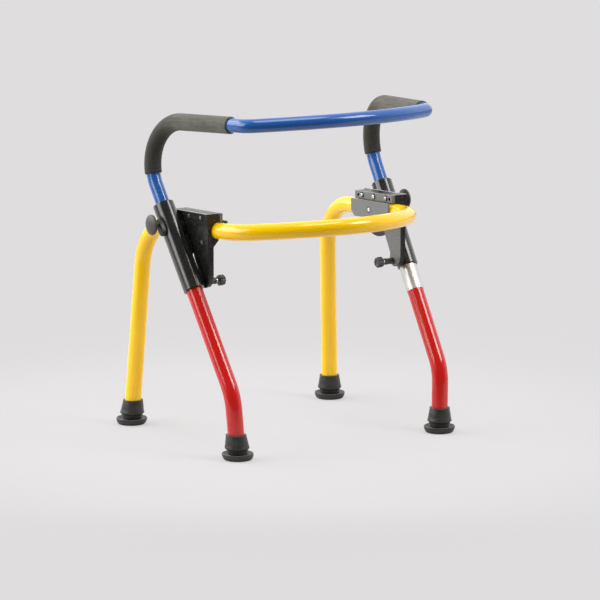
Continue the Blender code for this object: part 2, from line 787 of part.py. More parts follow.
def make_saddle(side):
    """The flat plate on the inner side of the rail, held by one screw."""
    word = side_word(side)
    front = rail_point(1, SADDLE_FRONT_Y)
    rear = rail_point(1, SADDLE_REAR_Y)
    per_y = (rear.x - front.x) / (SADDLE_REAR_Y - SADDLE_FRONT_Y)
    x = front.x - per_y * SADDLE_FRONT_Y
    x -= FRAME_TUBE_OD / 2 + FIT_GAP + SADDLE_THICKNESS / 2
    half = SADDLE_HEIGHT / 2
    outline = rail_strip(SADDLE_FRONT_Y, SADDLE_REAR_Y, -half, half)
    bottom_rear = outline[1]
    outline[1:2] = [
        (bottom_rear[0] - SADDLE_CUT, bottom_rear[1]),
        (bottom_rear[0], bottom_rear[1] + SADDLE_CUT),
    ]
    place = on_side(side, x, per_y)
    name = "saddle_plate_" + word
    obj = keep(flat_shape(outline, SADDLE_THICKNESS, place, CAST_CHAMFER), name, "grey")
    rail = rail_point(1, SADDLE_SCREW_Y)
    inner = rail.x - FRAME_TUBE_OD / 2 - FIT_GAP - SADDLE_THICKNESS
    radius = SCREW_SHANK / 2 + FIT_GAP
    hole = cross_rod(side, inner - 4 * MM, rail.x, SADDLE_SCREW_Y, rail.z, radius, 12)
    cut(obj, hole, "screw_hole")
    depth = 1.2 * MM
    radius = BAR_SCREW_HEAD / 2 + 0.55 * MM
    sink = cross_rod(side, inner - 4 * MM, inner + depth, SADDLE_SCREW_Y, rail.z, radius, 16)
    cut(obj, sink, "sink")
    length = SADDLE_THICKNESS - depth + FRAME_TUBE_WALL + 2 * MM
    name = "saddle_screw_" + word
    seat = inner + depth
    make_screw(name, side, seat, SADDLE_SCREW_Y, rail.z, length, BAR_SCREW_HEAD, True, True)


def make_pivot_pin(side):
    """The hinge pin, its head sunk in the inner side of the bracket's plate."""
    middle = plate_outer_at(pivot_z()) - BRACKET_PLATE / 2
    head_x = middle - 0.9 * MM
    end_x = tube_x_at(pivot_z()) - SIDE_TUBE_BORE_R - 0.5 * MM
    length = end_x - head_x
    pin = PIVOT_OD / 2
    head = PIVOT_HEAD_OD / 2
    profile = [
        (0.0, length),
        (pin - 0.4 * MM, length),
        (pin, length - 0.4 * MM),
        (pin, 0.8 * MM),
        (head, 0.8 * MM),
        (head, 0.0),
        (0.0, 0.0),
    ]
    place = facing(at(side * head_x, pivot_y(), pivot_z()), (side, 0.0, 0.0))
    keep(turned(profile, 16, place), "pivot_pin_" + side_word(side), "steel")


# The swinging front: side tubes, legs, band, bushes.
def capsule(centre, long_way, above, below, half_width, steps=8):
    """A round-ended outline along a direction, as points of Y and Z."""
    along = Vector(long_way).normalized()
    across = Vector((-along.y, along.x))
    outline = []
    for middle, sign in ((above, 1.0), (-below, -1.0)):
        for i in range(steps + 1):
            angle = math.pi * i / steps
            point = Vector(centre) + along * middle
            point += -across * sign * math.cos(angle) * half_width
            point += along * sign * math.sin(angle) * half_width
            outline.append(tuple(point))
    return outline


def make_side_tube(side, parent):
    """The black tube: pads for the hinge, the lock and the clamp screw; a long bore."""
    low = side_point(side, 0.0)
    high = side_point(side, SIDE_TUBE_LENGTH)
    axis = side_axis(side)
    radius = SIDE_TUBE_OD / 2
    chamfer = 0.8 * MM
    length = SIDE_TUBE_LENGTH
    profile = [
        (0.0, length),
        (radius - chamfer, length),
        (radius, length - chamfer),
        (radius, chamfer),
        (radius - chamfer, 0.0),
        (0.0, 0.0),
    ]
    mesh = turned(profile, ROUND_SIDES, facing(low, high - low))
    obj = keep(mesh, "side_tube_" + side_word(side), "black", parent)

    clamp = side_point(side, CLAMP_UP)
    x = abs(clamp.x) + radius + CLAMP_PAD_PROUD
    depth = 12.0 * MM
    centre = (clamp.y - Y_SHIFT, clamp.z)
    outline = capsule(centre, (axis.y, axis.z), CLAMP_PAD_ABOVE, CLAMP_PAD_BELOW,
                      CLAMP_PAD_WIDTH / 2)
    pad = flat_shape(outline, depth, on_side(side, x - depth / 2), 0.6 * MM)
    add(obj, pad, "clamp_pad")
    face = pad_face_at(pivot_z())
    pad = cross_rod(side, face, face + 10 * MM, pivot_y(), pivot_z(), PIVOT_PAD_OD / 2, 24)
    add(obj, pad, "pivot_pad")
    face = pad_face_at(LOCK_Z)
    pad = cross_rod(side, face, face + 9 * MM, LOCK_Y, LOCK_Z, LOCK_PAD_OD / 2, 20)
    add(obj, pad, "lock_pad")

    leg_bore = LEG_TUBE_OD / 2 + SLIDE_GAP
    past = 20 * MM
    step = LEG_INSERT + BORE_STEP_UP
    profile = [
        (0.0, length + past),
        (SIDE_TUBE_BORE_R, length + past),
        (SIDE_TUBE_BORE_R, step),
        (leg_bore, step),
        (leg_bore, -past),
        (0.0, -past),
    ]
    cut(obj, turned(profile, ROUND_SIDES, facing(low, high - low)), "bore")
    hole_radius = CLAMP_STUD_OD / 2 + SLIDE_GAP
    start = abs(clamp.x) + 4 * MM
    hole = cross_rod(side, start, x + 3 * MM, centre[0], centre[1], hole_radius, 14)
    cut(obj, hole, "stud_hole")
    hole_radius = PIVOT_OD / 2 + FIT_GAP
    start = pad_face_at(pivot_z()) - 3 * MM
    hole = cross_rod(side, start, start + 9 * MM, pivot_y(), pivot_z(), hole_radius, 16)
    cut(obj, hole, "pivot_hole")
    hole_radius = LOCK_PIN_OD / 2 + SLIDE_GAP
    start = pad_face_at(LOCK_Z) - 3 * MM
    cut(obj, cross_rod(side, start, start + 9 * MM, LOCK_Y, LOCK_Z, hole_radius, 14), "lock_hole")


def make_guide_bush(side, parent):
    """The bush in the top of the side tube.

    The posts lean apart, so the bore is longer sideways, for the travel.
    """
    top = SIDE_TUBE_LENGTH - BUSH_SUNK
    bottom = top - BUSH_LENGTH
    outer = SIDE_TUBE_BORE_R - BUSH_GAP
    start = side_point(side, bottom)
    end = side_point(side, top)
    name = "guide_bush_" + side_word(side)
    obj = keep(rod(start, end, outer, ROUND_SIDES), name, "black", parent)
    hole = HANDLE_TUBE_OD / 2 + SLIDE_GAP
    axis = side_axis(side)
    outline = capsule((0.0, 0.0), (-side, 0.0), BUSH_PLAY, 0.0, hole, 12)
    sideways = Vector((1.0, 0.0, 0.0))
    sideways = (sideways - axis * sideways.dot(axis)).normalized()
    across = axis.cross(sideways)
    middle = side_point(side, (top + bottom) / 2)
    place = Matrix((
        (sideways.x, across.x, axis.x, middle.x),
        (sideways.y, across.y, axis.y, middle.y),
        (sideways.z, across.z, axis.z, middle.z),
        (0.0, 0.0, 0.0, 1.0),
    ))
    cut(obj, flat_shape(outline, BUSH_LENGTH * 1.5, place), "post_hole")


def leg_path(side):
    """A front leg: inside the side tube, straight down, bent, and to its foot."""
    foot = at(side * FRONT_FOOT_X, FRONT_FOOT_Y, 0.0)
    bend = side_point(side, -LEG_STRAIGHT)
    end = foot.lerp(bend, LEG_END_Z / bend.z)
    top = side_point(side, LEG_INSERT)
    return rounded([top, bend, end], [LEG_BEND])


def make_leg(side, parent):
    path = leg_path(side)
    mesh = swept(path, LEG_TUBE_OD / 2, TUBE_SIDES)
    obj = keep(mesh, "front_leg_" + side_word(side), "red", parent)
    hollow(obj, LEG_TUBE_WALL)


def make_band(side, parent):
    """The bare foil band on one leg, just under its side tube."""
    path = stretch_of(leg_path(side), LEG_INSERT + BAND_START, BAND_LENGTH)
    radius = LEG_TUBE_OD / 2 + FIT_GAP + BAND_THICKNESS
    obj = keep(swept(path, radius, TUBE_SIDES), "leg_band", "foil", parent)
    hollow(obj, BAND_THICKNESS)


# The handle frame.
def handle_half(side):
    """Half of the handle frame's path, from the post's lower end to the middle."""
    start = side_point(side, SIDE_TUBE_LENGTH - HANDLE_INSERT)
    rear = side_point(side, SIDE_TUBE_LENGTH + HANDLE_RISE)
    corner = at(side * HANDLE_CORNER_X, HANDLE_CORNER_Y, HANDLE_CORNER_Z)
    bow = bowed(corner, HANDLE_BOW, HANDLE_BOW_RISE)
    radii = [HANDLE_REAR_BEND, HANDLE_CORNER_BEND] + [0.0] * (len(bow) - 1)
    return rounded([start, rear, corner] + bow, radii)


def make_handle_frame(parent):
    path = both_halves(handle_half(1))
    mesh = swept(path, HANDLE_TUBE_OD / 2, TUBE_SIDES)
    obj = keep(mesh, "handle_frame", "blue", parent)
    hollow(obj, HANDLE_TUBE_WALL)


def grip_length():
    """From the start of a grip to a margin before the handle's front corner."""
    rear = side_point(1, SIDE_TUBE_LENGTH + HANDLE_RISE)
    corner = at(HANDLE_CORNER_X, HANDLE_CORNER_Y, HANDLE_CORNER_Z)
    inside = (rear - corner).angle(side_axis(1))
    reach = HANDLE_REAR_BEND / math.tan(inside / 2)
    arc = HANDLE_REAR_BEND * (math.pi - inside)
    straight = (corner - rear).length - reach
    return HANDLE_RISE - reach + arc + straight - GRIP_START - GRIP_FRONT_MARGIN


def make_grip(side, parent):
    """A foam sleeve on the handle, round the rear bend and along the top."""
    path = stretch_of(handle_half(side), HANDLE_INSERT + GRIP_START, grip_length())
    mesh = swept(path, HANDLE_TUBE_OD / 2 + GRIP_FOAM, TUBE_SIDES)
    obj = keep(mesh, "grip_" + side_word(side), "foam", parent)
    hollow(obj, GRIP_FOAM - SLIDE_GAP)


# The knobs.
def make_clamp_knob(side, parent):
    """A mushroom knob on the end of its steel clamp stud."""
    clamp = side_point(side, CLAMP_UP)
    word = side_word(side)
    y = clamp.y - Y_SHIFT
    pad = abs(clamp.x) + SIDE_TUBE_OD / 2 + CLAMP_PAD_PROUD
    base = pad + FIT_GAP
    neck = CLAMP_NECK_OD / 2
    rim = CLAMP_KNOB_OD / 2
    deep = CLAMP_KNOB_DEPTH
    socket = CLAMP_STUD_OD / 2 + FIT_GAP
    profile = [
        (0.0, deep),
        (rim * 0.42, deep - 0.3 * MM),
        (rim * 0.70, deep - 1.3 * MM),
        (rim * 0.90, deep - 2.9 * MM),
        (rim, deep - 4.4 * MM),
        (rim, deep - 6.4 * MM),
        (rim - 0.8 * MM, deep - 7.2 * MM),
        (rim * 0.66, deep - 8.4 * MM),
        (neck + 1.6 * MM, deep - 10.4 * MM),
        (neck, deep - 13.0 * MM),
        (neck, 0.0),
        (socket, 0.0),
        (socket, CLAMP_SOCKET),
        (0.0, CLAMP_SOCKET),
    ]
    place = facing(at(side * base, y, clamp.z), (side, 0.0, 0.0))
    keep(turned(profile, 24, place), "clamp_knob_" + word, "black", parent)
    stud = CLAMP_STUD_OD / 2
    tip = abs(clamp.x) + HANDLE_TUBE_OD / 2 + FIT_GAP
    end = base + CLAMP_SOCKET - FIT_GAP
    keep(cross_rod(side, tip, end, y, clamp.z, stud, 12), "clamp_stud_" + word, "steel", parent)


def make_lock(side, parent):
    """The spring pull pin of the toe: a fluted knob, its pin and a fixed sleeve."""
    word = side_word(side)
    sleeve_end = web_inner_x() - FIT_GAP
    sleeve_start = sleeve_end - LOCK_SLEEVE_LENGTH
    bore = LOCK_PIN_OD / 2 + SLIDE_GAP
    outer = LOCK_SLEEVE_OD / 2
    long = LOCK_SLEEVE_LENGTH
    ring = [
        (outer - 0.5 * MM, long),
        (outer, long - 0.5 * MM),
        (outer, 0.0),
        (bore, 0.0),
        (bore, long),
    ]
    place = facing(at(side * sleeve_end, LOCK_Y, LOCK_Z), (-side, 0.0, 0.0))
    keep(turned(ring, 16, place, ring=True), "lock_sleeve_" + word, "black")

    outline = []
    for i in range(LOCK_KNOB_LOBES * 4):
        angle = math.tau * i / (LOCK_KNOB_LOBES * 4)
        radius = LOCK_KNOB_OD / 2
        radius -= LOCK_KNOB_FLUTE * (1 - math.cos(LOCK_KNOB_LOBES * angle)) / 2
        outline.append((LOCK_Y + radius * math.cos(angle), LOCK_Z + radius * math.sin(angle)))
    knob_end = sleeve_start - LOCK_KNOB_STANDOFF
    place = on_side(side, knob_end - LOCK_KNOB_LENGTH / 2)
    knob = flat_shape(outline, LOCK_KNOB_LENGTH, place, 0.8 * MM)
    obj = keep(knob, "lock_knob_" + word, "black", parent)
    depth = LOCK_KNOB_LENGTH * 0.7
    radius = LOCK_PIN_OD / 2 + FIT_GAP
    socket = cross_rod(side, knob_end - depth, knob_end + 5 * MM, LOCK_Y, LOCK_Z, radius, 14)
    cut(obj, socket, "pin_hole")
    start = knob_end - depth + FIT_GAP
    tip = pad_face_at(LOCK_Z) - SLIDE_GAP
    pin = cross_rod(side, start, tip, LOCK_Y, LOCK_Z, LOCK_PIN_OD / 2, 14)
    keep(pin, "lock_pin_" + word, "steel", parent)


def make_outer_screws(side):
    """The small screws in the bracket's outer face."""
    for i, (y, z) in enumerate(outer_screw_places()):
        name = "outer_screw_%s_%d" % (side_word(side), i + 1)
        face = plate_outer_at(z) + SMALL_SCREW_HEAD / 2 * lean_of_plate()
        make_screw(name, side, face, y, z, outer_screw_depth(), SMALL_SCREW_HEAD, False, False)


def build():
    make_lower_frame()
    for side in (1, -1):
        foot = at(side * REAR_FOOT_X, REAR_FOOT_Y, 0.0)
        above = rail_point(side, RAIL_REAR_Y)
        make_foot("foot_rear_" + side_word(side), foot, above, FRAME_TUBE_OD)
        make_bracket(side)
        make_clamp_bar(side)
        make_saddle(side)
        make_outer_screws(side)
        make_pivot_pin(side)

    fold = axis_empty("fold_axis", at(0.0, pivot_y(), pivot_z()))
    for side in (1, -1):
        make_side_tube(side, fold)
        make_guide_bush(side, fold)
        make_leg(side, fold)
        foot = at(side * FRONT_FOOT_X, FRONT_FOOT_Y, 0.0)
        name = "foot_front_" + side_word(side)
        make_foot(name, foot, side_point(side, -LEG_STRAIGHT), LEG_TUBE_OD, fold)
    make_band(1, fold)

    middle = side_point(1, SIDE_TUBE_LENGTH)
    slide = axis_empty("handle_slide_axis", Vector((0.0, middle.y, middle.z)), fold)
    make_handle_frame(slide)
    for side in (1, -1):
        make_grip(side, slide)

    for side in (1, -1):
        clamp = axis_empty("clamp_axis_" + side_word(side), side_point(side, CLAMP_UP), fold)
        make_clamp_knob(side, clamp)
        place = at(side * web_inner_x(), LOCK_Y, LOCK_Z)
        lock = axis_empty("lock_axis_" + side_word(side), place)
        make_lock(side, lock)


build()
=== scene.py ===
"""A child's folding walking frame, dressed as it stands in a studio.

It is laid out as a Blender add-on: one operator makes each group of pieces, and
main() calls them in order. Metres, +Z up, the frame's left side at +X.
"""
import math

import bmesh
import bpy
from bpy.props import FloatProperty, IntProperty, PointerProperty, StringProperty
from mathutils import Matrix, Vector


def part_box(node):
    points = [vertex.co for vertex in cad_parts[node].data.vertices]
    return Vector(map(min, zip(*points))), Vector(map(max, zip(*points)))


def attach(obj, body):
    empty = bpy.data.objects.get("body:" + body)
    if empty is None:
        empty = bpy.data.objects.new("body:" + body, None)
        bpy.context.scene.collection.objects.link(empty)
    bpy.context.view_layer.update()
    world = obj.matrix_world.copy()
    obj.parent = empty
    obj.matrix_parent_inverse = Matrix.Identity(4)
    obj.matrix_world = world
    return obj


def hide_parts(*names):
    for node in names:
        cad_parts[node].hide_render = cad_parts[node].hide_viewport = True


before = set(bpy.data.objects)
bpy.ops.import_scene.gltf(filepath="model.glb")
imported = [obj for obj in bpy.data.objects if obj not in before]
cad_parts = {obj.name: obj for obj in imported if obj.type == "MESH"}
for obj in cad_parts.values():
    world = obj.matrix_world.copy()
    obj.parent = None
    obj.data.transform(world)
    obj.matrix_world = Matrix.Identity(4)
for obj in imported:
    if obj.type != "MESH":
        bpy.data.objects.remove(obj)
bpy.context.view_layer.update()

bl_info = {
    "name": "Child's folding walking frame",
    "version": (1, 0, 0),
    "blender": (4, 5, 0),
    "location": "View3D > Sidebar > Walking frame",
    "description": "Builds the tubes, brackets, knobs, grips and feet of a folding walking frame",
    "category": "Add Mesh",
}

MM = 0.001
SIDES = ((1, "left"), (-1, "right"))

# The sizes and places below are in millimetres, and places are on the left side.
# The routes of the tubes, measured from the middle of the four feet. A bow is how far
# a front bar reaches forward and how far it rises, and bends are radii.
Y_SHIFT = 21.2
REAR_FOOT = (182.7, 154.1, 0.0)
FRONT_FOOT = (181.4, -154.0, 0.0)
RAIL_REAR = (165.7, 136.1, 320.2)
RAIL_FRONT = (158.3, -109.0, 332.0)
FRAME_BOW = (98.9, 11.8)
FRAME_BENDS = (77.0, 100.0)
SIDE_TUBE_LOW = (192.6, -49.7, 241.0)
SIDE_TUBE_LEAN = (0.03399, 0.55918)
SIDE_TUBE_LENGTH = 144.1
HANDLE_RISE = 145.8
HANDLE_INSERT = 80.0
HANDLE_CORNER = (160.6, -147.5, 497.0)
HANDLE_BOW = (56.6, 6.0)
HANDLE_BENDS = (65.6, 30.0)
LEG_INSERT = 45.0
LEG_STRAIGHT = 176.3
LEG_BEND = 80.0
LEG_END_Z = 6.8
# A front bar's half in shares of its width: the straight run ends at the first share,
# the bow starts at the second, and it has this many steps.
BOW_SHARES = (0.72, 0.56)
BOW_STEPS = 20
BEND_STEP_DEGREES = 2.5

# Where each grip starts and how long it is: the right one is cut a little shorter.
GRIPS = {1: (50.0, 249.6), -1: (51.0, 232.0)}
FOAM_SIDES = 56
FOAM_LIP = 1.4
FOAM_PLAY = 0.25
# The ripples' length, and the bend, as one over a radius in metres, that makes them full.
RIPPLE_LENGTH, FULL_BEND = 7.5, 15.0
GRAIN_STRETCH = 0.12
# The foil band: its play under the side tube, length, height and spacing of its rings.
BAND = (1.0, 41.0, 0.7, 1.5)

# The hinge pin and the clamp knob, up from the side tube's lower end, and the lock pin.
PIVOT_UP = 103.8
CLAMP_UP = 112.3
LOCK_AT = (193.0, -45.0, 250.6)
# The round pads for hinge pin and lock pin, on the side tube's inner side: their radii,
# how far they stand out of the tube, and their length.
PIVOT_PAD, LOCK_PAD, PAD_RISE, PAD_LENGTH = 12.0, 9.0, 0.6, 9.0
# The side tube's bore: its radius round the post and round the leg, and the height at
# which it changes.
POST_BORE, LEG_BORE, BORE_STEP = 13.29, 12.9, LEG_INSERT + 8
# The oval pad under a clamp knob: half its length and width, its drop below the knob,
# its depth in the tube, and its rings as distance from the tube's axis and inset.
CLAMP_PAD = (14.0, 6.5, 6.0, 0.05)
CLAMP_PAD_RINGS = ((9.0, 0.0), (20.4, 0.0), (20.9, 0.2), (21.1, 0.7))

# The web's inner face, which carries a painted reflection: how far it lies from the middle, and
# its top.
WEB_FACE = (168.0, 308.0)
# The block's top, where a painted highlight lies, falls to the rear with the rail: its height at y
# = 0, and the fall.
BLOCK_TOP = (354.27, 0.04814)
# The middles and the radius of the empty holes at a bar's ends.
BAR_HOLES = ((28.2, 345.3), (-57.9, 349.4))
HOLE_RADIUS = 2.45
# What lies above the first height of a saddle plate goes up by the second, to just
# under the bar.
SADDLE_TOP = (335.0, 1.6)
# The recesses that hold the screw heads of bars and saddles, and the heads' height.
RECESS_RADIUS, RECESS_DEPTH = 4.9, 1.2
HEAD_HEIGHT = 1.8

# The camera as it was fitted to the photograph: azimuth and elevation in degrees, and
# focal length in pixels of its width. Its place is in metres from a point above the
# middle of the feet: back, to the right and down.
CAMERA_ANGLE = (-32.788, 10.402)
FOCAL_PIXELS, IMAGE_PIXELS, SENSOR_WIDTH = 4513.7, 600, 36.0
CAMERA_AIM_HEIGHT = 250.0
CAMERA_BACK, CAMERA_RIGHT, CAMERA_DOWN = 6.8877, 0.02294, 0.05016

# Colours of small marks, of a painted highlight and of painted shade, and of the studio's paper.
SPECKS = "#5C5B56"
PAINTED_TOP_HIGHLIGHT = "#B2B1AD"
PAINTED_SHADE = "#1A1A18"
PAPER = "#C4C2C3"
PAPER_END = "#3F3F3F"

# Settings of nodes that ease a value between two limits, and that mix two colours: in
# the mix, input 0 is the share, 6 and 7 are the colours, and output 2 is the result.
EASED = {"interpolation_type": "SMOOTHSTEP"}
COLOURS = {"data_type": "RGBA"}


class WalkerSizes(bpy.types.PropertyGroup):
    """The sizes of the frame's tubes and grips."""

    frame_tube: FloatProperty(
        name="Frame tube", description="Outer diameter of the yellow and red tubes",
        default=25.0 * MM, min=10 * MM, max=40 * MM, subtype="DISTANCE", unit="LENGTH")
    handle_tube: FloatProperty(
        name="Handle tube", description="Outer diameter of the blue handle tube",
        default=21.0 * MM, min=10 * MM, max=40 * MM, subtype="DISTANCE", unit="LENGTH")
    side_tube: FloatProperty(
        name="Side tube", description="Outer diameter of the black side tubes",
        default=32.0 * MM, min=20 * MM, max=50 * MM, subtype="DISTANCE", unit="LENGTH")
    grip: FloatProperty(
        name="Grip", description="Outer diameter of the foam grips",
        default=26.0 * MM, min=22 * MM, max=45 * MM, subtype="DISTANCE", unit="LENGTH")
    foam_ripple: FloatProperty(
        name="Foam ripple", description="Height of the small ripples inside a grip's bend",
        default=0.15 * MM, min=0.0, max=1 * MM, subtype="DISTANCE", unit="LENGTH")
    round_sides: IntProperty(
        name="Round sides", description="Faces around each tube",
        default=48, min=12, max=128)


class WalkerColours(bpy.types.PropertyGroup):
    """The colours of the finishes, as sRGB hex values."""

    yellow: StringProperty(name="Yellow", description="Coat of the lower frame", default="#F9C400")
    blue: StringProperty(name="Blue", description="Coat of the handle frame", default="#24579C")
    red: StringProperty(name="Red", description="Coat of the front legs", default="#BE1A14")
    black: StringProperty(name="Black", description="Coat of the side tubes", default="#262522")
    casting: StringProperty(name="Casting", description="Coat of the brackets", default="#141412")
    # This grey is also laid on the brackets' inner webs as a painted reflection.
    grey: StringProperty(name="Grey", description="Bars, plates and webs", default="#6A6B69")
    foam: StringProperty(name="Foam", description="Foam of the grips", default="#33322D")
    rubber: StringProperty(name="Rubber", description="Rubber of the feet", default="#262521")
    plastic: StringProperty(name="Plastic", description="Moulded knobs", default="#383836")
    steel: StringProperty(name="Steel", description="Zinc-plated steel", default="#C9C8C4")
    dark_steel: StringProperty(name="Dark steel", description="Outer screws", default="#8D8C89")
    foil: StringProperty(name="Foil", description="The bare band on one leg", default="#CACAC8")
    studio: StringProperty(name="Studio", description="Floor and backdrop", default="#DFDDDE")


# Colours, nodes and materials.
def linear(code):
    """An sRGB hex colour as linear red, green, blue and alpha."""
    values = []
    for i in (1, 3, 5):
        c = int(code[i:i + 2], 16) / 255
        values.append(c / 12.92 if c <= 0.04045 else ((c + 0.055) / 1.055) ** 2.4)
    return (*values, 1.0)


def own_colour(which):
    """One of the frame's colours, as linear values."""
    return linear(getattr(bpy.context.scene.walker_colours, which))


def add_node(tree, kind, inputs=(), **settings):
    """Adds a node with its settings, and sets or links its inputs.

    Inputs are a dict by name or number, or a tuple in the order of the sockets. A
    node given as a value stands for its first output.
    """
    node = tree.nodes.new(kind)
    for key, value in settings.items():
        setattr(node, key, value)
    for key, value in inputs.items() if isinstance(inputs, dict) else enumerate(inputs):
        if isinstance(value, bpy.types.Node):
            value = value.outputs[0]
        if isinstance(value, bpy.types.NodeSocket):
            tree.links.new(value, node.inputs[key])
        else:
            node.inputs[key].default_value = value
    return node


def pattern_scale(size):
    """The texture scale whose features have a size in millimetres."""
    return 1 / (size * MM)


def tint(tree, shade, colour, value, start, end):
    """Lays a colour over a shade: none of it where a value is at start, all at end."""
    share = add_node(tree, "ShaderNodeMapRange", (value, start, end), **EASED)
    return add_node(tree, "ShaderNodeMix", {0: share, 6: shade, 7: linear(colour)},
                    **COLOURS).outputs[2]


def surface(name, which, look, mottle, peel, over=None, follow=None):
    """A material that varies a little in shade and gloss and has a fine relief.

    which names its colour. look holds constants of the shader, among them the middle
    roughness. mottle is the size in millimetres of the shading's patches, their
    depth, and the swing of the roughness. peel is the relief's grain in millimetres
    and its depth. over may paint on the shade, and follow names a mesh attribute.
    """
    material = bpy.data.materials.get(name)
    if material:
        return material
    material = bpy.data.materials.new(name)
    material.use_nodes = True
    tree = material.node_tree
    shader = tree.nodes["Principled BSDF"]
    for key, value in look.items():
        shader.inputs[key].default_value = value
    base = own_colour(which)
    material.diffuse_color = base
    if follow:
        place = add_node(tree, "ShaderNodeAttribute", attribute_name=follow).outputs["Vector"]
    else:
        place = add_node(tree, "ShaderNodeTexCoord").outputs["Object"]
    size, depth, swing = mottle
    patches = add_node(tree, "ShaderNodeTexNoise", {
        "Vector": place, "Scale": pattern_scale(size), "Detail": 4.0, "Roughness": 0.6})
    dark = tuple(c * (1 - depth) for c in base[:3]) + (1.0,)
    light = tuple(min(1.0, c * (1 + depth)) for c in base[:3]) + (1.0,)
    shade = add_node(tree, "ShaderNodeMix", {0: patches, 6: dark, 7: light}, **COLOURS).outputs[2]
    if over:
        shade = over(tree, shade)
    tree.links.new(shade, shader.inputs["Base Color"])
    middle = look["Roughness"]
    gloss = add_node(tree, "ShaderNodeMapRange", (
        patches, 0.3, 0.7, middle - swing, middle + swing))
    tree.links.new(gloss.outputs["Result"], shader.inputs["Roughness"])
    grain, height = peel
    skin = add_node(tree, "ShaderNodeTexNoise", {
        "Vector": place, "Scale": pattern_scale(grain), "Detail": 2.0, "Roughness": 0.5})
    relief = add_node(tree, "ShaderNodeBump", {
        "Height": skin, "Strength": 1.0, "Distance": height * MM})
    tree.links.new(relief.outputs["Normal"], shader.inputs["Normal"])
    return material


def powder_coat(which):
    """Polyester powder coat, sprayed and baked: a thick glossy skin, faintly orange-peeled."""
    look = {"Roughness": 0.16, "Coat Weight": 0.1, "Coat Roughness": 0.05}
    return surface("powder_coat_" + which, which, look, (60, 0.06, 0.03), (2.2, 0.012))


def black_tube_coat():
    """Black powder coat on drawn tube: semi-gloss, so it picks up soft grey streaks."""
    look = {"Roughness": 0.2, "Coat Weight": 0.3, "Coat Roughness": 0.1}
    return surface("powder_coat_black", "black", look, (25, 0.12, 0.05), (1.4, 0.02))


def coated_casting():
    """Die-cast alloy under a black coat: satin and speckled, with a painted reflection in grey on
    its inner web and a painted highlight on its block's top.
    """
    look = {"Roughness": 0.34, "Specular IOR Level": 0.4}
    return surface("coated_die_casting", "casting", look, (5, 0.3, 0.13), (0.9, 0.04),
                   over=specks_and_painted_light)


def specks_and_painted_light(tree, shade):
    """A painted reflection in grey on the web's inner face, a painted highlight on the block's
    top, and small light specks.
    """
    place = add_node(tree, "ShaderNodeTexCoord").outputs["Object"]
    x, y, z = add_node(tree, "ShaderNodeSeparateXYZ", (place,)).outputs
    specks = add_node(tree, "ShaderNodeTexNoise", {
        "Vector": place, "Scale": pattern_scale(2.4), "Detail": 1.0})
    shade = tint(tree, shade, SPECKS, specks, 0.68, 0.74)
    # Painted highlight: the block's top is painted pale, standing in for the bright room reflected
    # there.
    height, fall = BLOCK_TOP
    level = add_node(tree, "ShaderNodeMath", (y, fall, z), operation="MULTIPLY_ADD")
    shade = tint(tree, shade, PAINTED_TOP_HIGHLIGHT, level, (height - 0.4) * MM, (height - 0.1) * MM)
    # Painted reflection: the web's inner face takes the bars' grey, standing in for the bright
    # room it reflects.
    inner, top = WEB_FACE
    across = add_node(tree, "ShaderNodeMath", (x,), operation="ABSOLUTE")
    near = add_node(tree, "ShaderNodeMapRange", (
        across, (inner + 0.6) * MM, (inner + 0.1) * MM), **EASED)
    below = add_node(tree, "ShaderNodeMapRange", (z, (top + 1) * MM, top * MM), **EASED)
    web = add_node(tree, "ShaderNodeMath", (near, below), operation="MULTIPLY")
    return add_node(tree, "ShaderNodeMix", {0: web, 6: shade, 7: own_colour("grey")},
                    **COLOURS).outputs[2]


def grey_coat():
    """Flat bar under a thin grey coat: satin, showing the rolled surface beneath, with painted
    shade in its holes and round its screws.
    """
    look = {"Roughness": 0.42, "Coat Weight": 0.1, "Coat Roughness": 0.3}
    return surface("coated_flat_bar", "grey", look, (7, 0.10, 0.06), (0.7, 0.03), over=painted_shade_in_holes)


def painted_shade_in_holes(tree, shade):
    """Painted shade inside the empty holes of a bar and in the recesses round its screws."""
    dark = [(at(0, y, z), HOLE_RADIUS) for y, z in BAR_HOLES]
    for node in ("bar_screw_left_1", "bar_screw_left_2", "bar_screw_left_3", "saddle_screw_left"):
        low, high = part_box(node)
        dark.append((Vector((0.0, *((low + high) / 2).yz)), RECESS_RADIUS))
    place = add_node(tree, "ShaderNodeTexCoord").outputs["Object"]
    flat = add_node(tree, "ShaderNodeVectorMath", (place, (0.0, 1.0, 1.0)), operation="MULTIPLY")
    # Painted shade: each hole and each recess round a screw head is painted dark, where shadow
    # falls.
    for middle, radius in dark:
        away = add_node(tree, "ShaderNodeVectorMath", (flat, middle), operation="DISTANCE")
        shade = tint(tree, shade, PAINTED_SHADE, away.outputs["Value"], (radius + 0.2) * MM, radius * MM)
    return shade


def closed_cell_foam():
    """Closed-cell foam drawn over the tube: dull, grained lengthwise, and paler along its level
    stretch, partly from wear and dust and partly as painted light.
    """
    look = {"Roughness": 0.9, "Specular IOR Level": 0.25, "Sheen Weight": 0.1,
            "Sheen Roughness": 0.6}
    # The real grain is near 1 mm: it is drawn at over twice that, so that it shows.
    return surface("closed_cell_foam", "foam", look, (2.6, 0.9, 0.04), (2.2, 0.3),
                   over=wear_and_painted_light, follow="grain")


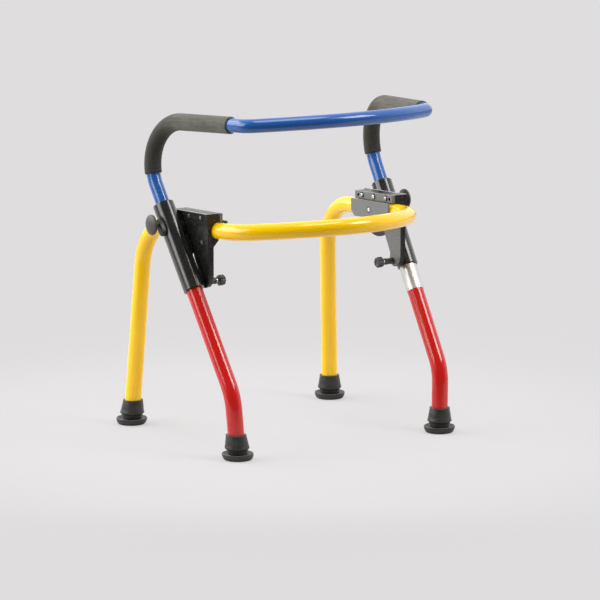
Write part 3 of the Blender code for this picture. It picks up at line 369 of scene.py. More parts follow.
def wear_and_painted_light(tree, shade):
    """The foam made paler where its attribute says so: partly wear and dust, partly painted light
    that brightens the level stretch against the upright one.
    """
    wear_and_light = add_node(tree, "ShaderNodeAttribute", attribute_name="wear_and_light")
    patches = add_node(tree, "ShaderNodeTexNoise", {
        "Vector": add_node(tree, "ShaderNodeTexCoord").outputs["Object"],
        "Scale": pattern_scale(14), "Detail": 3.0})
    uneven = add_node(tree, "ShaderNodeMapRange", (patches, 0.2, 0.7, 0.75, 1.0), **EASED)
    share = add_node(tree, "ShaderNodeMath", (wear_and_light.outputs["Fac"], uneven), operation="MULTIPLY")
    gain = add_node(tree, "ShaderNodeMapRange", (share, 0.0, 1.0, 1.0, 4.0), **EASED)
    paler = add_node(tree, "ShaderNodeVectorMath", {0: shade, "Scale": gain}, operation="SCALE")
    return paler.outputs["Vector"]


def moulded_rubber():
    """Compression-moulded rubber: dull black with a slight bloom of lighter dust."""
    look = {"Roughness": 0.42, "Specular IOR Level": 0.5}
    return surface("moulded_rubber", "rubber", look, (5, 0.4, 0.12), (1.8, 0.14))


def moulded_nylon():
    """Injection-moulded nylon: dark, satin, with a spark-eroded mould texture."""
    return surface("moulded_nylon", "plastic", {"Roughness": 0.46}, (8, 0.12, 0.06), (0.6, 0.04))


def zinc_steel():
    """Zinc-plated steel: bright, slightly milky metal with fine handling marks."""
    look = {"Metallic": 1.0, "Roughness": 0.3}
    return surface("zinc_plated_steel", "steel", look, (3, 0.06, 0.08), (0.5, 0.02))


def blackened_steel():
    """Oil-blackened steel screws: dark metal with worn bright spots kept small."""
    look = {"Metallic": 1.0, "Roughness": 0.36}
    return surface("blackened_steel", "dark_steel", look, (1.5, 0.3, 0.1), (0.5, 0.02))


def bare_foil():
    """Metallised foil wrapped round the leg: bright and silky, smoothed down by hand."""
    look = {"Metallic": 1.0, "Roughness": 0.4}
    return surface("wrapped_foil", "foil", look, (9, 0.04, 0.05), (7.0, 0.06))


# Paths.
def at(x, y, z):
    """A point in millimetres from the middle of the feet, as a point of the scene."""
    return Vector((x * MM, (y + Y_SHIFT) * MM, z * MM))


def on(side, place):
    """A place of the left side, or its mirror image on the right side."""
    return at(side * place[0], place[1], place[2])


def rounded(points, radii):
    """Bends a path of straight runs round its corners, each with a radius in millimetres."""
    path = [points[0]]
    for before, corner, after, radius in zip(points, points[1:], points[2:], radii):
        if radius == 0.0:
            path.append(corner)
            continue
        back = (before - corner).normalized()
        ahead = (after - corner).normalized()
        inside = back.angle(ahead)
        radius = radius * MM
        reach = radius / math.tan(inside / 2)
        first = corner + back * reach
        last = corner + ahead * reach
        centre = corner + (back + ahead).normalized() * (radius / math.sin(inside / 2))
        turn = math.pi - inside
        count = max(4, round(math.degrees(turn) / BEND_STEP_DEGREES))
        for i in range(count + 1):
            arm = (first - centre) * math.sin((1 - i / count) * turn)
            arm += (last - centre) * math.sin(i / count * turn)
            path.append(centre + arm / math.sin(turn))
    path.append(points[-1])
    return path


def bowed(corner, bow):
    """Points of a front bar that bows forward from its corner to the middle."""
    points = []
    deep, rise = bow[0] * MM, bow[1] * MM
    straight, curved = BOW_SHARES
    for share in [straight] + [curved * (1 - i / BOW_STEPS) for i in range(BOW_STEPS + 1)]:
        out = 1 - share * share
        points.append(Vector((corner.x * share, corner.y - deep * out, corner.z + rise * out)))
    return points


def both_halves(half):
    """A path from one side to the other, from its half that ends in the middle."""
    return half + [Vector((-p.x, p.y, p.z)) for p in reversed(half[:-1])]


def even_steps(path, step):
    """The same path with points at even distances."""
    lengths = [0.0]
    for a, b in zip(path, path[1:]):
        lengths.append(lengths[-1] + (b - a).length)
    count = max(2, round(lengths[-1] / step))
    even = []
    i = 0
    for k in range(count + 1):
        goal = lengths[-1] * k / count
        while i < len(path) - 2 and lengths[i + 1] < goal:
            i += 1
        share = (goal - lengths[i]) / (lengths[i + 1] - lengths[i])
        even.append(path[i].lerp(path[i + 1], share))
    return even


def stretch_of(path, start, length):
    """The stretch of a path between two distances along it, in even steps."""
    even = even_steps(path, 0.5 * MM)
    step = sum((b - a).length for a, b in zip(even, even[1:])) / (len(even) - 1)
    first = round(start * MM / step)
    last = round((start + length) * MM / step)
    return even[first:last + 1]


def side_axis(side):
    """The direction of a side tube, upwards."""
    x, y = SIDE_TUBE_LEAN
    return Vector((side * x, y, math.sqrt(1 - x * x - y * y)))


def side_point(side, distance):
    """A point of a side tube's axis, in millimetres up from its lower end."""
    return on(side, SIDE_TUBE_LOW) + side_axis(side) * (distance * MM)


def frame_half(side):
    """Half the lower frame: up the rear leg, along the rail and to the front's middle."""
    foot, rear, corner = on(side, REAR_FOOT), on(side, RAIL_REAR), on(side, RAIL_FRONT)
    bow = bowed(corner, FRAME_BOW)
    bends = list(FRAME_BENDS) + [0.0] * (len(bow) - 1)
    return rounded([foot.lerp(rear, LEG_END_Z * MM / rear.z), rear, corner] + bow, bends)


def handle_half(side):
    """Half the handle frame: up the post, along the handle and to the front's middle."""
    start = side_point(side, SIDE_TUBE_LENGTH - HANDLE_INSERT)
    rear = side_point(side, SIDE_TUBE_LENGTH + HANDLE_RISE)
    corner = on(side, HANDLE_CORNER)
    bow = bowed(corner, HANDLE_BOW)
    return rounded([start, rear, corner] + bow, list(HANDLE_BENDS) + [0.0] * (len(bow) - 1))


def leg_path(side):
    """A front leg, from inside its side tube down to its foot."""
    foot = on(side, FRONT_FOOT)
    bend = side_point(side, -LEG_STRAIGHT)
    end = foot.lerp(bend, LEG_END_Z * MM / bend.z)
    return rounded([side_point(side, LEG_INSERT), bend, end], [LEG_BEND])


# Meshes.
def mesh_from(work, name):
    """Turns a bmesh into a mesh with merged seams and outward faces."""
    bmesh.ops.remove_doubles(work, verts=work.verts, dist=0.002 * MM)
    bmesh.ops.recalc_face_normals(work, faces=work.faces)
    mesh = bpy.data.meshes.new(name)
    work.to_mesh(mesh)
    work.free()
    return mesh


def skin(work, rows, capped):
    """Faces between rings of points, capped at both ends or joined up end to end."""
    for first, second in zip(rows, rows[1:] if capped else rows[1:] + rows[:1]):
        for k in range(len(first)):
            other = (k + 1) % len(first)
            work.faces.new((first[k], first[other], second[other], second[k]))
    if capped:
        work.faces.new(rows[0])
        work.faces.new(rows[-1])


def soften(mesh, degrees):
    """Shades a mesh smooth, apart from edges sharper than an angle."""
    mesh.shade_smooth()
    mesh.set_sharp_from_angle(angle=math.radians(degrees))
    return mesh


def placed(data, name="helper"):
    """A new object in the scene. Without a name it only holds a mesh under modifiers."""
    obj = bpy.data.objects.new(name, data)
    bpy.context.scene.collection.objects.link(obj)
    return obj


def plain_mesh(obj):
    """The finished mesh of a helper object, which is removed."""
    bpy.context.view_layer.update()
    graph = bpy.context.evaluated_depsgraph_get()
    mesh = bpy.data.meshes.new_from_object(obj.evaluated_get(graph))
    mesh.transform(obj.matrix_world)
    bpy.data.objects.remove(obj, do_unlink=True)
    return mesh


def combined(mesh, *steps):
    """A mesh with others joined to it or cut from it, each given with its operation."""
    obj = placed(mesh)
    others = []
    for other, operation in steps:
        modifier = obj.modifiers.new("boolean", "BOOLEAN")
        modifier.operation = operation
        modifier.solver = "EXACT"
        modifier.object = placed(other)
        others.append(modifier.object)
    mesh = plain_mesh(obj)
    for other in others:
        bpy.data.objects.remove(other, do_unlink=True)
    return mesh


def keep_flat(mesh):
    """Turns the corner normals of a smooth-shaded mesh to its large flat faces."""
    obj = placed(mesh)
    weigh = obj.modifiers.new("weigh", "WEIGHTED_NORMAL")
    weigh.keep_sharp = True
    weigh.weight = 80
    return plain_mesh(obj)


def refined(node, bevel):
    """A copy of a solid with its facets merged, its edges broken and its rounds smooth."""
    work = bmesh.new()
    work.from_mesh(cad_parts[node].data)
    bmesh.ops.remove_doubles(work, verts=work.verts, dist=0.005 * MM)
    bmesh.ops.dissolve_limit(work, angle_limit=math.radians(0.8), verts=work.verts,
                             edges=work.edges)
    mesh = mesh_from(work, "refined")
    if bevel:
        obj = placed(mesh)
        edge = obj.modifiers.new("edge", "BEVEL")
        edge.width = bevel * MM
        edge.segments = 2
        edge.limit_method = "ANGLE"
        edge.angle_limit = math.radians(50)
        edge.use_clamp_overlap = True
        mesh = plain_mesh(obj)
    return keep_flat(soften(mesh, 38))


def piece(name, mesh, body, material, nodes):
    """Puts a finished mesh into the scene, on its body and in place of its solids."""
    if not mesh.polygons:
        raise RuntimeError(name + " came out with no faces")
    mesh.name = name
    mesh.materials.clear()
    mesh.materials.append(material)
    obj = placed(mesh, name)
    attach(obj, body)
    if nodes:
        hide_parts(*nodes)
    return obj


def lathe(profile, sides, place, lean=None):
    """Turns a profile of radius and height, in millimetres, round local Z."""
    work = bmesh.new()
    points = [work.verts.new((r * MM, 0.0, z * MM)) for r, z in profile]
    edges = [work.edges.new(pair) for pair in zip(points, points[1:])]
    bmesh.ops.spin(work, geom=points + edges, cent=(0, 0, 0), axis=(0, 0, 1),
                   angle=math.tau, steps=sides, use_merge=True)
    mesh = mesh_from(work, "turned")
    mesh.transform(lean or Matrix.Identity(4))
    mesh.transform(place)
    return mesh


def facing(origin, direction):
    """Places local +Z along a direction from an origin."""
    turn = Vector(direction).to_track_quat("Z", "Y").to_matrix().to_4x4()
    return Matrix.Translation(origin) @ turn


def rod(start, end, radius, sides):
    """A plain round bar between two points, with a radius in metres."""
    r = radius / MM
    long = (end - start).length / MM
    return lathe([(0, long), (r, long), (r, 0), (0, 0)], sides, facing(start, end - start))


def end_face(node, way):
    """The middle of a solid's outer face towards +X or -X, by the sign of way."""
    low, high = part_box(node)
    middle = (low + high) / 2
    return Vector((high.x if way > 0 else low.x, middle.y, middle.z))


def x_length(node):
    """How long a solid is along X, in millimetres."""
    low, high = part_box(node)
    return (high.x - low.x) / MM


# Geometry Nodes.
def node_group(name, sockets):
    """A Geometry Nodes tree with a geometry in and out and named inputs between."""
    tree = bpy.data.node_groups.get(name)
    if tree:
        return tree, None
    tree = bpy.data.node_groups.new(name, "GeometryNodeTree")
    face = tree.interface
    face.new_socket("Geometry", in_out="INPUT", socket_type="NodeSocketGeometry")
    face.new_socket("Geometry", in_out="OUTPUT", socket_type="NodeSocketGeometry")
    for label, kind in sockets:
        face.new_socket(label, in_out="INPUT", socket_type=kind)
    return tree, tree.nodes.new("NodeGroupInput")


def finish_group(tree, start, shape):
    """Ends a tree: it realizes the shape's instances and sets its material."""
    real = add_node(tree, "GeometryNodeRealizeInstances", (shape,))
    dressed = add_node(tree, "GeometryNodeSetMaterial", {
        "Geometry": real, "Material": start.outputs["Finish"]})
    add_node(tree, "NodeGroupOutput", (dressed,))
    return tree


def tube_tree():
    """A round bar along a path: the path's edges become a curve, and a circle follows it."""
    tree, start = node_group("tube_along_path", (
        ("Radius", "NodeSocketFloat"), ("Sides", "NodeSocketInt"),
        ("Finish", "NodeSocketMaterial")))
    if not start:
        return tree
    route = add_node(tree, "GeometryNodeMeshToCurve", {"Mesh": start.outputs["Geometry"]})
    ring = add_node(tree, "GeometryNodeCurvePrimitiveCircle", {
        "Resolution": start.outputs["Sides"], "Radius": start.outputs["Radius"]})
    tube = add_node(tree, "GeometryNodeCurveToMesh", {
        "Curve": route, "Profile Curve": ring, "Fill Caps": True})
    smooth = add_node(tree, "GeometryNodeSetShadeSmooth", {"Geometry": tube})
    return finish_group(tree, start, smooth)


def screw_tree():
    """The same screw on every point, its head turned the way the point faces."""
    tree, start = node_group("screws_on_points", (
        ("Screw", "NodeSocketObject"), ("Finish", "NodeSocketMaterial")))
    if not start:
        return tree
    screw = add_node(tree, "GeometryNodeObjectInfo", {"Object": start.outputs["Screw"]})
    way = add_node(tree, "GeometryNodeInputNamedAttribute", {"Name": "facing"},
                   data_type="FLOAT_VECTOR")
    slant = add_node(tree, "GeometryNodeInputNamedAttribute", {"Name": "slot_turn"},
                     data_type="FLOAT")
    turn = add_node(tree, "FunctionNodeAlignRotationToVector", {
        "Vector": way.outputs["Attribute"]}, axis="Z")
    spin = add_node(tree, "FunctionNodeAxisAngleToRotation", {
        "Axis": (0.0, 0.0, 1.0), "Angle": slant.outputs["Attribute"]})
    both = add_node(tree, "FunctionNodeRotateRotation", {
        "Rotation": turn, "Rotate By": spin}, rotation_space="LOCAL")
    copies = add_node(tree, "GeometryNodeInstanceOnPoints", {
        "Points": start.outputs["Geometry"], "Instance": screw.outputs["Geometry"],
        "Rotation": both})
    return finish_group(tree, start, copies)


def run_tree(obj, tree, values):
    """Runs a tree on an object with named input values, and returns a plain mesh."""
    modifier = obj.modifiers.new("nodes", "NODES")
    modifier.node_group = tree
    for item in tree.interface.items_tree:
        if item.in_out == "INPUT" and item.name in values:
            modifier[item.identifier] = values[item.name]
    return plain_mesh(obj)


def tube(path, radius, material):
    """A tube along a path, made with the tube tree."""
    mesh = bpy.data.meshes.new("path")
    mesh.from_pydata(path, [(i, i + 1) for i in range(len(path) - 1)], [])
    sides = bpy.context.scene.walker_sizes.round_sides
    work = bmesh.new()
    work.from_mesh(run_tree(placed(mesh), tube_tree(), {
        "Radius": radius, "Sides": sides, "Finish": material}))
    return soften(mesh_from(work, "tube"), 40)


def screws(places, mesh, material):
    """Copies of a screw at places given as point, direction and slot angle."""
    points = bpy.data.meshes.new("points")
    points.from_pydata([place for place, way, angle in places], [], [])
    facings = points.attributes.new("facing", "FLOAT_VECTOR", "POINT")
    facings.data.foreach_set("vector", [c for place, way, angle in places for c in way])
    turns = points.attributes.new("slot_turn", "FLOAT", "POINT")
    turns.data.foreach_set("value", [angle for place, way, angle in places])
    source = placed(mesh)
    made = run_tree(placed(points), screw_tree(), {"Screw": source, "Finish": material})
    bpy.data.objects.remove(source, do_unlink=True)
    return soften(made, 35)


# The pieces.
class WALKER_OT_tubes(bpy.types.Operator):
    """Makes the yellow frame, the blue handle and the red legs along their routes"""

    bl_idname = "walker.tubes"
    bl_label = "Tubes"

    def execute(self, context):
        sizes = context.scene.walker_sizes
        radius = sizes.frame_tube / 2
        coat = powder_coat("yellow")
        mesh = tube(both_halves(frame_half(1)), radius, coat)
        piece("bent_base_tube", mesh, "frame", coat, ["lower_frame"])
        coat = powder_coat("blue")
        mesh = tube(both_halves(handle_half(1)), sizes.handle_tube / 2, coat)
        piece("bent_handle_tube", mesh, "handle", coat, ["handle_frame"])
        coat = powder_coat("red")
        for side, word in SIDES:
            mesh = tube(leg_path(side), radius, coat)
            piece("leg_tube_" + word, mesh, "front", coat, ["front_leg_" + word])
        return {"FINISHED"}


class WALKER_OT_band(bpy.types.Operator):
    """Wraps the bare foil band round one leg, just under its side tube"""

    bl_idname = "walker.band"
    bl_label = "Foil band"

    def execute(self, context):
        play, length, height, spacing = BAND
        path = even_steps(stretch_of(leg_path(1), LEG_INSERT + play, length), spacing * MM)
        foil = bare_foil()
        mesh = tube(path, context.scene.walker_sizes.frame_tube / 2 + height * MM, foil)
        piece("foil_wrap", mesh, "front", foil, ["leg_band"])
        return {"FINISHED"}


class WALKER_OT_grips(bpy.types.Operator):
    """Makes the foam sleeves, with rounded ends and faint ripples inside the bend"""

    bl_idname = "walker.grips"
    bl_label = "Foam grips"

    def execute(self, context):
        foam = closed_cell_foam()
        for side, word in SIDES:
            start, length = GRIPS[side]
            path = stretch_of(handle_half(side), HANDLE_INSERT + start, length)
            mesh = foam_sleeve(even_steps(path, 1.6 * MM), context.scene.walker_sizes)
            obj = piece("foam_sleeve_" + word, mesh, "handle", foam, ["grip_" + word])
        return {"FINISHED"}


def cross_sections(path, step):
    """For each point: its place, the way along, the two ways across, and the bend."""
    across = Vector((1.0, 0.0, 0.0))
    sections = []
    for i, place in enumerate(path):
        before = path[max(0, i - 1)]
        after = path[min(len(path) - 1, i + 1)]
        along = (after - before).normalized()
        across = (across - along * across.dot(along)).normalized()
        bend = Vector((0.0, 0.0, 0.0))
        if 0 < i < len(path) - 1:
            bend = (before + after - place * 2) / (step * step)
        sections.append((place, along, across.copy(), along.cross(across), bend))
    return sections


def foam_sleeve(path, sizes):
    """Rings of points along a path: the outer skin, round the ends, and back inside."""
    outer = sizes.grip / 2
    inner = sizes.handle_tube / 2 + FOAM_PLAY * MM
    lip = FOAM_LIP * MM
    step = (path[1] - path[0]).length
    sections = cross_sections(path, step)
    work = bmesh.new()
    grain_layer = work.verts.layers.float_vector.new("grain")
    wear_and_light_layer = work.verts.layers.float.new("wear_and_light")
    rows = []

    def ring(i, radius, shift=0.0, ripple=0.0):
        """Adds the ring of a section, shifted along the path, with its grain and wear."""
        place, along, one, two, bend = sections[i]
        row = []
        for k in range(FOAM_SIDES):
            angle = math.tau * k / FOAM_SIDES
            out = one * math.cos(angle) + two * math.sin(angle)
            inward = max(0.0, out.dot(bend) / FULL_BEND) ** 2
            wave = math.sin(math.tau * i * step / (RIPPLE_LENGTH * MM))
            r = radius + ripple * inward * (wave - 0.4)
            vert = work.verts.new(place + along * shift + out * r)
            vert[grain_layer] = (math.cos(angle) * outer, math.sin(angle) * outer,
                                 (i * step + shift) * GRAIN_STRETCH)
            # Paler most where the grip lies level, and there more below than above: partly wear,
            # partly painted light on the level stretch.
            vert[wear_and_light_layer] = (1 - abs(along.z)) ** 1.4 * (0.78 - 0.22 * out.z)
            row.append(vert)
        rows.append(row)

    last = len(path) - 1
    for k in range(6):
        angle = math.pi / 2 * k / 5
        ring(0, outer - lip * (1 - math.sin(angle)), lip * (1 - math.cos(angle)))
    for i in range(2, last - 1):
        ring(i, outer, 0.0, sizes.foam_ripple)
    for k in range(6):
        angle = math.pi / 2 * (1 - k / 5)
        ring(last, outer - lip * (1 - math.sin(angle)), -lip * (1 - math.cos(angle)))
    for i in range(last, -1, -4):
        ring(i, inner)
    ring(0, inner)
    skin(work, rows, capped=False)
    return soften(mesh_from(work, "sleeve"), 60)


class WALKER_OT_feet(bpy.types.Operator):
    """Turns the four rubber feet, whose sockets lean with their legs"""

    bl_idname = "walker.feet"
    bl_label = "Rubber feet"

    def execute(self, context):
        rubber = moulded_rubber()
        for side, word in SIDES:
            rear = (on(side, REAR_FOOT), on(side, RAIL_REAR))
            front = (on(side, FRONT_FOOT), side_point(side, -LEG_STRAIGHT))
            for end, body, (foot, above) in (("rear", "frame", rear), ("front", "front", front)):
                node = "foot_%s_%s" % (end, word)
                piece("rubber_" + node, rubber_foot(foot, above), body, rubber,
                      [node])
        return {"FINISHED"}


def rubber_foot(foot, above):
    """A flared foot with a ribbed waist under its cone."""
    profile = [
        (0, 5.0), (12.62, 5.0), (12.62, 37.2), (13.1, 37.9), (13.8, 38.0), (15.1, 37.9),
        (15.6, 37.4), (15.7, 36.6), (15.4, 36.0), (16.1, 32.0), (17.2, 26.0), (17.1, 25.4),
        (17.9, 21.5), (18.5, 19.4), (18.7, 18.2), (18.5, 17.3), (16.4, 15.6), (15.4, 15.0),
        (15.4, 14.4), (16.4, 13.8), (16.4, 13.0), (15.2, 12.3), (15.2, 11.6), (16.2, 10.9),
        (16.2, 10.1), (15.0, 9.4), (15.0, 8.5), (16.0, 7.5), (18.0, 7.2), (20.2, 8.2),
        (22.2, 9.6), (23.1, 9.9), (23.7, 9.3), (23.85, 8.2), (23.6, 6.4), (22.9, 4.2),
        (21.9, 2.2), (20.8, 0.8), (20.2, 0.25), (19.4, 0.0), (0, 0),
    ]
    lean = Matrix.Identity(4)
    lean[0][2] = (above.x - foot.x) / above.z
    lean[1][2] = (above.y - foot.y) / above.z
    return soften(lathe(profile, 72, Matrix.Translation(foot), lean), 34)


class WALKER_OT_side_tubes(bpy.types.Operator):
    """Makes the black side tubes, the pads under their clamp knobs, and the top bushes"""

    bl_idname = "walker.side_tubes"
    bl_label = "Side tubes"

    def execute(self, context):
        coat = black_tube_coat()
        nylon = moulded_nylon()
        radius = context.scene.walker_sizes.side_tube / 2
        for side, word in SIDES:
            mesh = padded_tube(side, radius)
            piece("slanted_tube_" + word, mesh, "front", coat,
                  ["side_tube_" + word])
            mesh = clamp_pad(side, radius)
            piece("clamp_pad_" + word, mesh, "front", nylon, [])
            mesh = refined("guide_bush_" + word, 0.0)
            piece("top_bush_" + word, mesh, "front", nylon,
                  ["guide_bush_" + word])
        return {"FINISHED"}


def padded_tube(side, radius):
    """A bored tube with round pads for the hinge pin and the lock pin."""
    r = radius / MM
    long = SIDE_TUBE_LENGTH
    profile = [(0, long), (r - 0.9, long), (r - 0.3, long - 0.25), (r, long - 0.9),
               (r, 0.9), (r - 0.3, 0.25), (r - 0.9, 0), (0, 0)]
    bore = [(0, long + 20), (POST_BORE, long + 20), (POST_BORE, BORE_STEP),
            (LEG_BORE, BORE_STEP), (LEG_BORE, -20), (0, -20)]
    low, high = side_point(side, 0), side_point(side, long)
    place = facing(low, high - low)
    way = Vector((side, 0.0, 0.0))
    steps = []
    for middle, pad in ((side_point(side, PIVOT_UP), PIVOT_PAD), (on(side, LOCK_AT), LOCK_PAD)):
        face = middle - way * (radius + PAD_RISE * MM)
        steps.append((rod(face, face + way * PAD_LENGTH * MM, pad * MM, 48), "UNION"))
    steps.append((lathe(bore, 72, place), "DIFFERENCE"))
    return keep_flat(soften(combined(lathe(profile, 96, place), *steps), 32))


def clamp_pad(side, radius):
    """The oval pad under a clamp knob, hollowed to sit on the tube."""
    half_length, half_width, drop, sink = CLAMP_PAD
    way = Vector((side, 0.0, 0.0))
    axis = side_axis(side)
    flat = Vector((0.0, axis.y, axis.z)).normalized()
    cross = way.cross(flat)
    middle = side_point(side, CLAMP_UP) - flat * (drop * MM)
    work = bmesh.new()
    rows = []
    for depth, inset in CLAMP_PAD_RINGS:
        row = []
        for k in range(96):
            angle = math.tau * k / 96
            row.append(work.verts.new(
                middle + way * (depth * MM)
                + cross * ((half_width - inset) * math.cos(angle) * MM)
                + flat * ((half_length - inset) * math.sin(angle) * MM)))
        rows.append(row)
    skin(work, rows, capped=True)
    seat = rod(side_point(side, 0), side_point(side, SIDE_TUBE_LENGTH), radius - sink * MM, 96)
    return keep_flat(soften(combined(mesh_from(work, "pad"), (seat, "DIFFERENCE")), 32))


class WALKER_OT_brackets(bpy.types.Operator):
    """Refines the bracket castings, the flat bars and the saddle plates"""

    bl_idname = "walker.brackets"
    bl_label = "Side brackets"

    def execute(self, context):
        casting = coated_casting()
        grey = grey_coat()
        steel = zinc_steel()
        for side, word in SIDES:
            mesh = refined("side_bracket_" + word, 0.35)
            piece("bracket_casting_" + word, mesh, "frame", casting,
                  ["side_bracket_" + word])
            nodes = ["bar_screw_%s_%d" % (word, i) for i in (1, 2, 3)]
            mesh = sunk(refined("clamp_bar_" + word, 0.3), side, nodes)
            piece("screwed_bar_" + word, mesh, "frame", grey, ["clamp_bar_" + word])
            mesh = refined("saddle_plate_" + word, 0.3)
            for vertex in mesh.vertices:
                if vertex.co.z > SADDLE_TOP[0] * MM:
                    vertex.co.z += SADDLE_TOP[1] * MM
            mesh = sunk(mesh, side, ["saddle_screw_" + word])
            piece("rail_saddle_" + word, mesh, "frame", grey,
                  ["saddle_plate_" + word])
            mesh = refined("pivot_pin_" + word, 0.2)
            piece("hinge_pin_" + word, mesh, "frame", steel, ["pivot_pin_" + word])
        return {"FINISHED"}


def sunk(mesh, side, screw_nodes):
    """Cuts round recesses from the inner side, in which the screw heads sit.

    All are cut at once, because cuts made one after another leave cracks.
    """
    way = Vector((side, 0.0, 0.0))
    cutters = bmesh.new()
    for node in screw_nodes:
        seat = screw_seat(node, -side)
        cutters.from_mesh(rod(seat - way * 5 * MM, seat + way * (RECESS_DEPTH * MM),
                              RECESS_RADIUS * MM, 40))
    work = bmesh.new()
    work.from_mesh(combined(mesh, (mesh_from(cutters, "cutters"), "DIFFERENCE")))
    return keep_flat(soften(mesh_from(work, "sunk"), 30))


def screw_seat(node, way):
    """The middle of the face under a screw's head, which points to +X or -X."""
    seat = end_face(node, way)
    seat.x -= way * HEAD_HEIGHT * MM
    return seat


class WALKER_OT_screws(bpy.types.Operator):
    """Sets the slotted screws into the bars and saddles, and the outer screws"""

    bl_idname = "walker.screws"
    bl_label = "Screws"

    def execute(self, context):
        slotted = []
        outer = []
        for side, word in SIDES:
            for i, angle in enumerate((0.5, 1.2, 0.2)):
                slotted.append(("bar_screw_%s_%d" % (word, i + 1), -side, angle))
            slotted.append(("saddle_screw_" + word, -side, 1.5))
            for i in range(3):
                outer.append(("outer_screw_%s_%d" % (word, i + 1), side, 0.4 + i))
        for name, group, screw, material, slot in (
                ("slotted_screws", slotted,
                 slotted_screw(head=3.35, shank=12.0, below=RECESS_DEPTH),
                 zinc_steel(), "zinc_steel"),
                ("outer_screws", outer, slotted_screw(head=3.0, shank=7.0, below=0.0),
                 blackened_steel(), "black_steel")):
            mesh = screws([(screw_seat(node, way), (way, 0.0, 0.0), angle)
                           for node, way, angle in group], screw, material)
            piece(name, mesh, "frame", material, [node for node, way, angle in group])
        return {"FINISHED"}


def slotted_screw(head, shank, below):
    """A cheese-headed screw with a rounded edge and a straight slot, head up.

    below is how far its head reaches under the seat, into a recess.
    """
    top, shank_radius, slot_width, slot_depth = HEAD_HEIGHT, 2.0, 1.2, 1.1
    profile = [(0, top), (head * 0.55, top), (head * 0.86, top * 0.9), (head * 0.97, top * 0.7),
               (head, top * 0.45), (head, -below), (shank_radius, -below),
               (shank_radius, -shank * 0.5), (0, -shank * 0.5)]
    cutter = bmesh.new()
    bmesh.ops.create_cube(cutter, size=1.0)
    bmesh.ops.scale(cutter, vec=(head * 3 * MM, slot_width * MM, 2 * slot_depth * MM),
                    verts=cutter.verts)
    bmesh.ops.translate(cutter, vec=(0, 0, top * MM), verts=cutter.verts)
    return combined(lathe(profile, 32, Matrix.Identity(4)),
                    (mesh_from(cutter, "slot"), "DIFFERENCE"))


class WALKER_OT_knobs(bpy.types.Operator):
    """Makes the mushroom clamp knobs with their studs, and the fluted pull knobs"""

    bl_idname = "walker.knobs"
    bl_label = "Knobs"

    def execute(self, context):
        nylon = moulded_nylon()
        steel = zinc_steel()
        for side, word in SIDES:
            node = "clamp_knob_" + word
            mesh = mushroom_knob(facing(end_face(node, -side), (side, 0.0, 0.0)))
            piece("mushroom_knob_" + word, mesh, "clamp_" + word, nylon, [node])
            node = "clamp_stud_" + word
            piece("knob_stud_" + word, refined(node, 0.0), "clamp_" + word, steel,
                  [node])
            node = "lock_knob_" + word
            piece("fluted_knob_" + word, fluted_knob(node, side), "lock_" + word, nylon,
                  [node])
            node = "lock_pin_" + word
            piece("pull_pin_" + word, pull_pin(node), "lock_" + word, steel, [node])
            node = "lock_sleeve_" + word
            piece("pin_sleeve_" + word, pin_sleeve(node, side), "frame", nylon,
                  [node])
        return {"FINISHED"}


def mushroom_knob(place):
    """A domed disc with a rolled rim, a coned back and a neck."""
    dome = math.radians(42)
    profile = []
    for i in range(13):
        angle = dome * i / 12
        profile.append((14.6 * math.sin(angle) / math.sin(dome),
                        16.2 - 3.4 * (1 - math.cos(angle)) / (1 - math.cos(dome))))
    profile += [(15.2, 12.3), (15.5, 11.6), (15.5, 10.2), (15.2, 9.5), (14.4, 9.0),
                (11.0, 8.2), (8.2, 7.2), (6.4, 5.8), (5.4, 4.2), (5.0, 2.6), (5.0, 0.3),
                (4.7, 0.0), (3.3, 0.0), (3.3, 8.0), (0, 8.0)]
    return soften(lathe(profile, 72, place), 40)


def fluted_knob(node, side):
    """A pull knob with eight lobes, a recessed face and rounded edges."""
    lobes, radius, flute_depth = 8, 8.3, 1.2
    count = lobes * 10
    face = end_face(node, -side)
    # Rings from the face inwards: shares of the length and the radius, and the fluting.
    levels = [(0.10, 0.45, 0.0), (0.06, 0.52, 0.0), (0.0, 0.60, 0.2), (0.0, 0.86, 0.7),
              (0.05, 0.94, 1.0), (0.14, 1.0, 1.0), (0.86, 1.0, 1.0), (0.95, 0.94, 1.0),
              (1.0, 0.86, 0.8), (1.0, 0.42, 0.0)]
    work = bmesh.new()
    rows = []
    for depth, share, flute in levels:
        x = face.x + side * x_length(node) * depth * MM
        row = []
        for k in range(count):
            angle = math.tau * k / count
            r = (radius * share - flute_depth * flute * (1 - math.cos(lobes * angle)) / 2) * MM
            row.append(work.verts.new((x, face.y + r * math.cos(angle),
                                       face.z + r * math.sin(angle))))
        rows.append(row)
    skin(work, rows, capped=True)
    return soften(mesh_from(work, "knob"), 42)


def pull_pin(node):
    """A turned pin in the place of a solid that lies along X, its ends broken."""
    radius, edge = 3.0, 0.3
    long = x_length(node)
    profile = [(0, long), (radius - edge, long), (radius, long - edge), (radius, edge),
               (radius - edge, 0), (0, 0)]
    return soften(lathe(profile, 32, facing(end_face(node, -1), (1.0, 0.0, 0.0))), 40)


def pin_sleeve(node, side):
    """The sleeve round a pull pin: a collar at the knob's end and a flared root."""
    long = x_length(node)
    profile = [(3.4, long), (4.6, long), (5.1, long - 0.5), (5.1, long - 2.6), (4.7, long - 3.0),
               (4.7, 3.0), (5.2, 2.0), (5.2, 0), (3.4, 0), (3.4, long)]
    return soften(lathe(profile, 40, facing(end_face(node, side), (-side, 0.0, 0.0))), 40)


# The studio.
class WALKER_OT_stage(bpy.types.Operator):
    """Sets up the pale floor, the soft light and the camera"""

    bl_idname = "walker.stage"
    bl_label = "Studio"

    def execute(self, context):
        studio = own_colour("studio")
        make_floor(studio)
        make_world(studio)
        make_lights()
        make_camera()
        context.scene.view_settings.view_transform = "Standard"
        return {"FINISHED"}


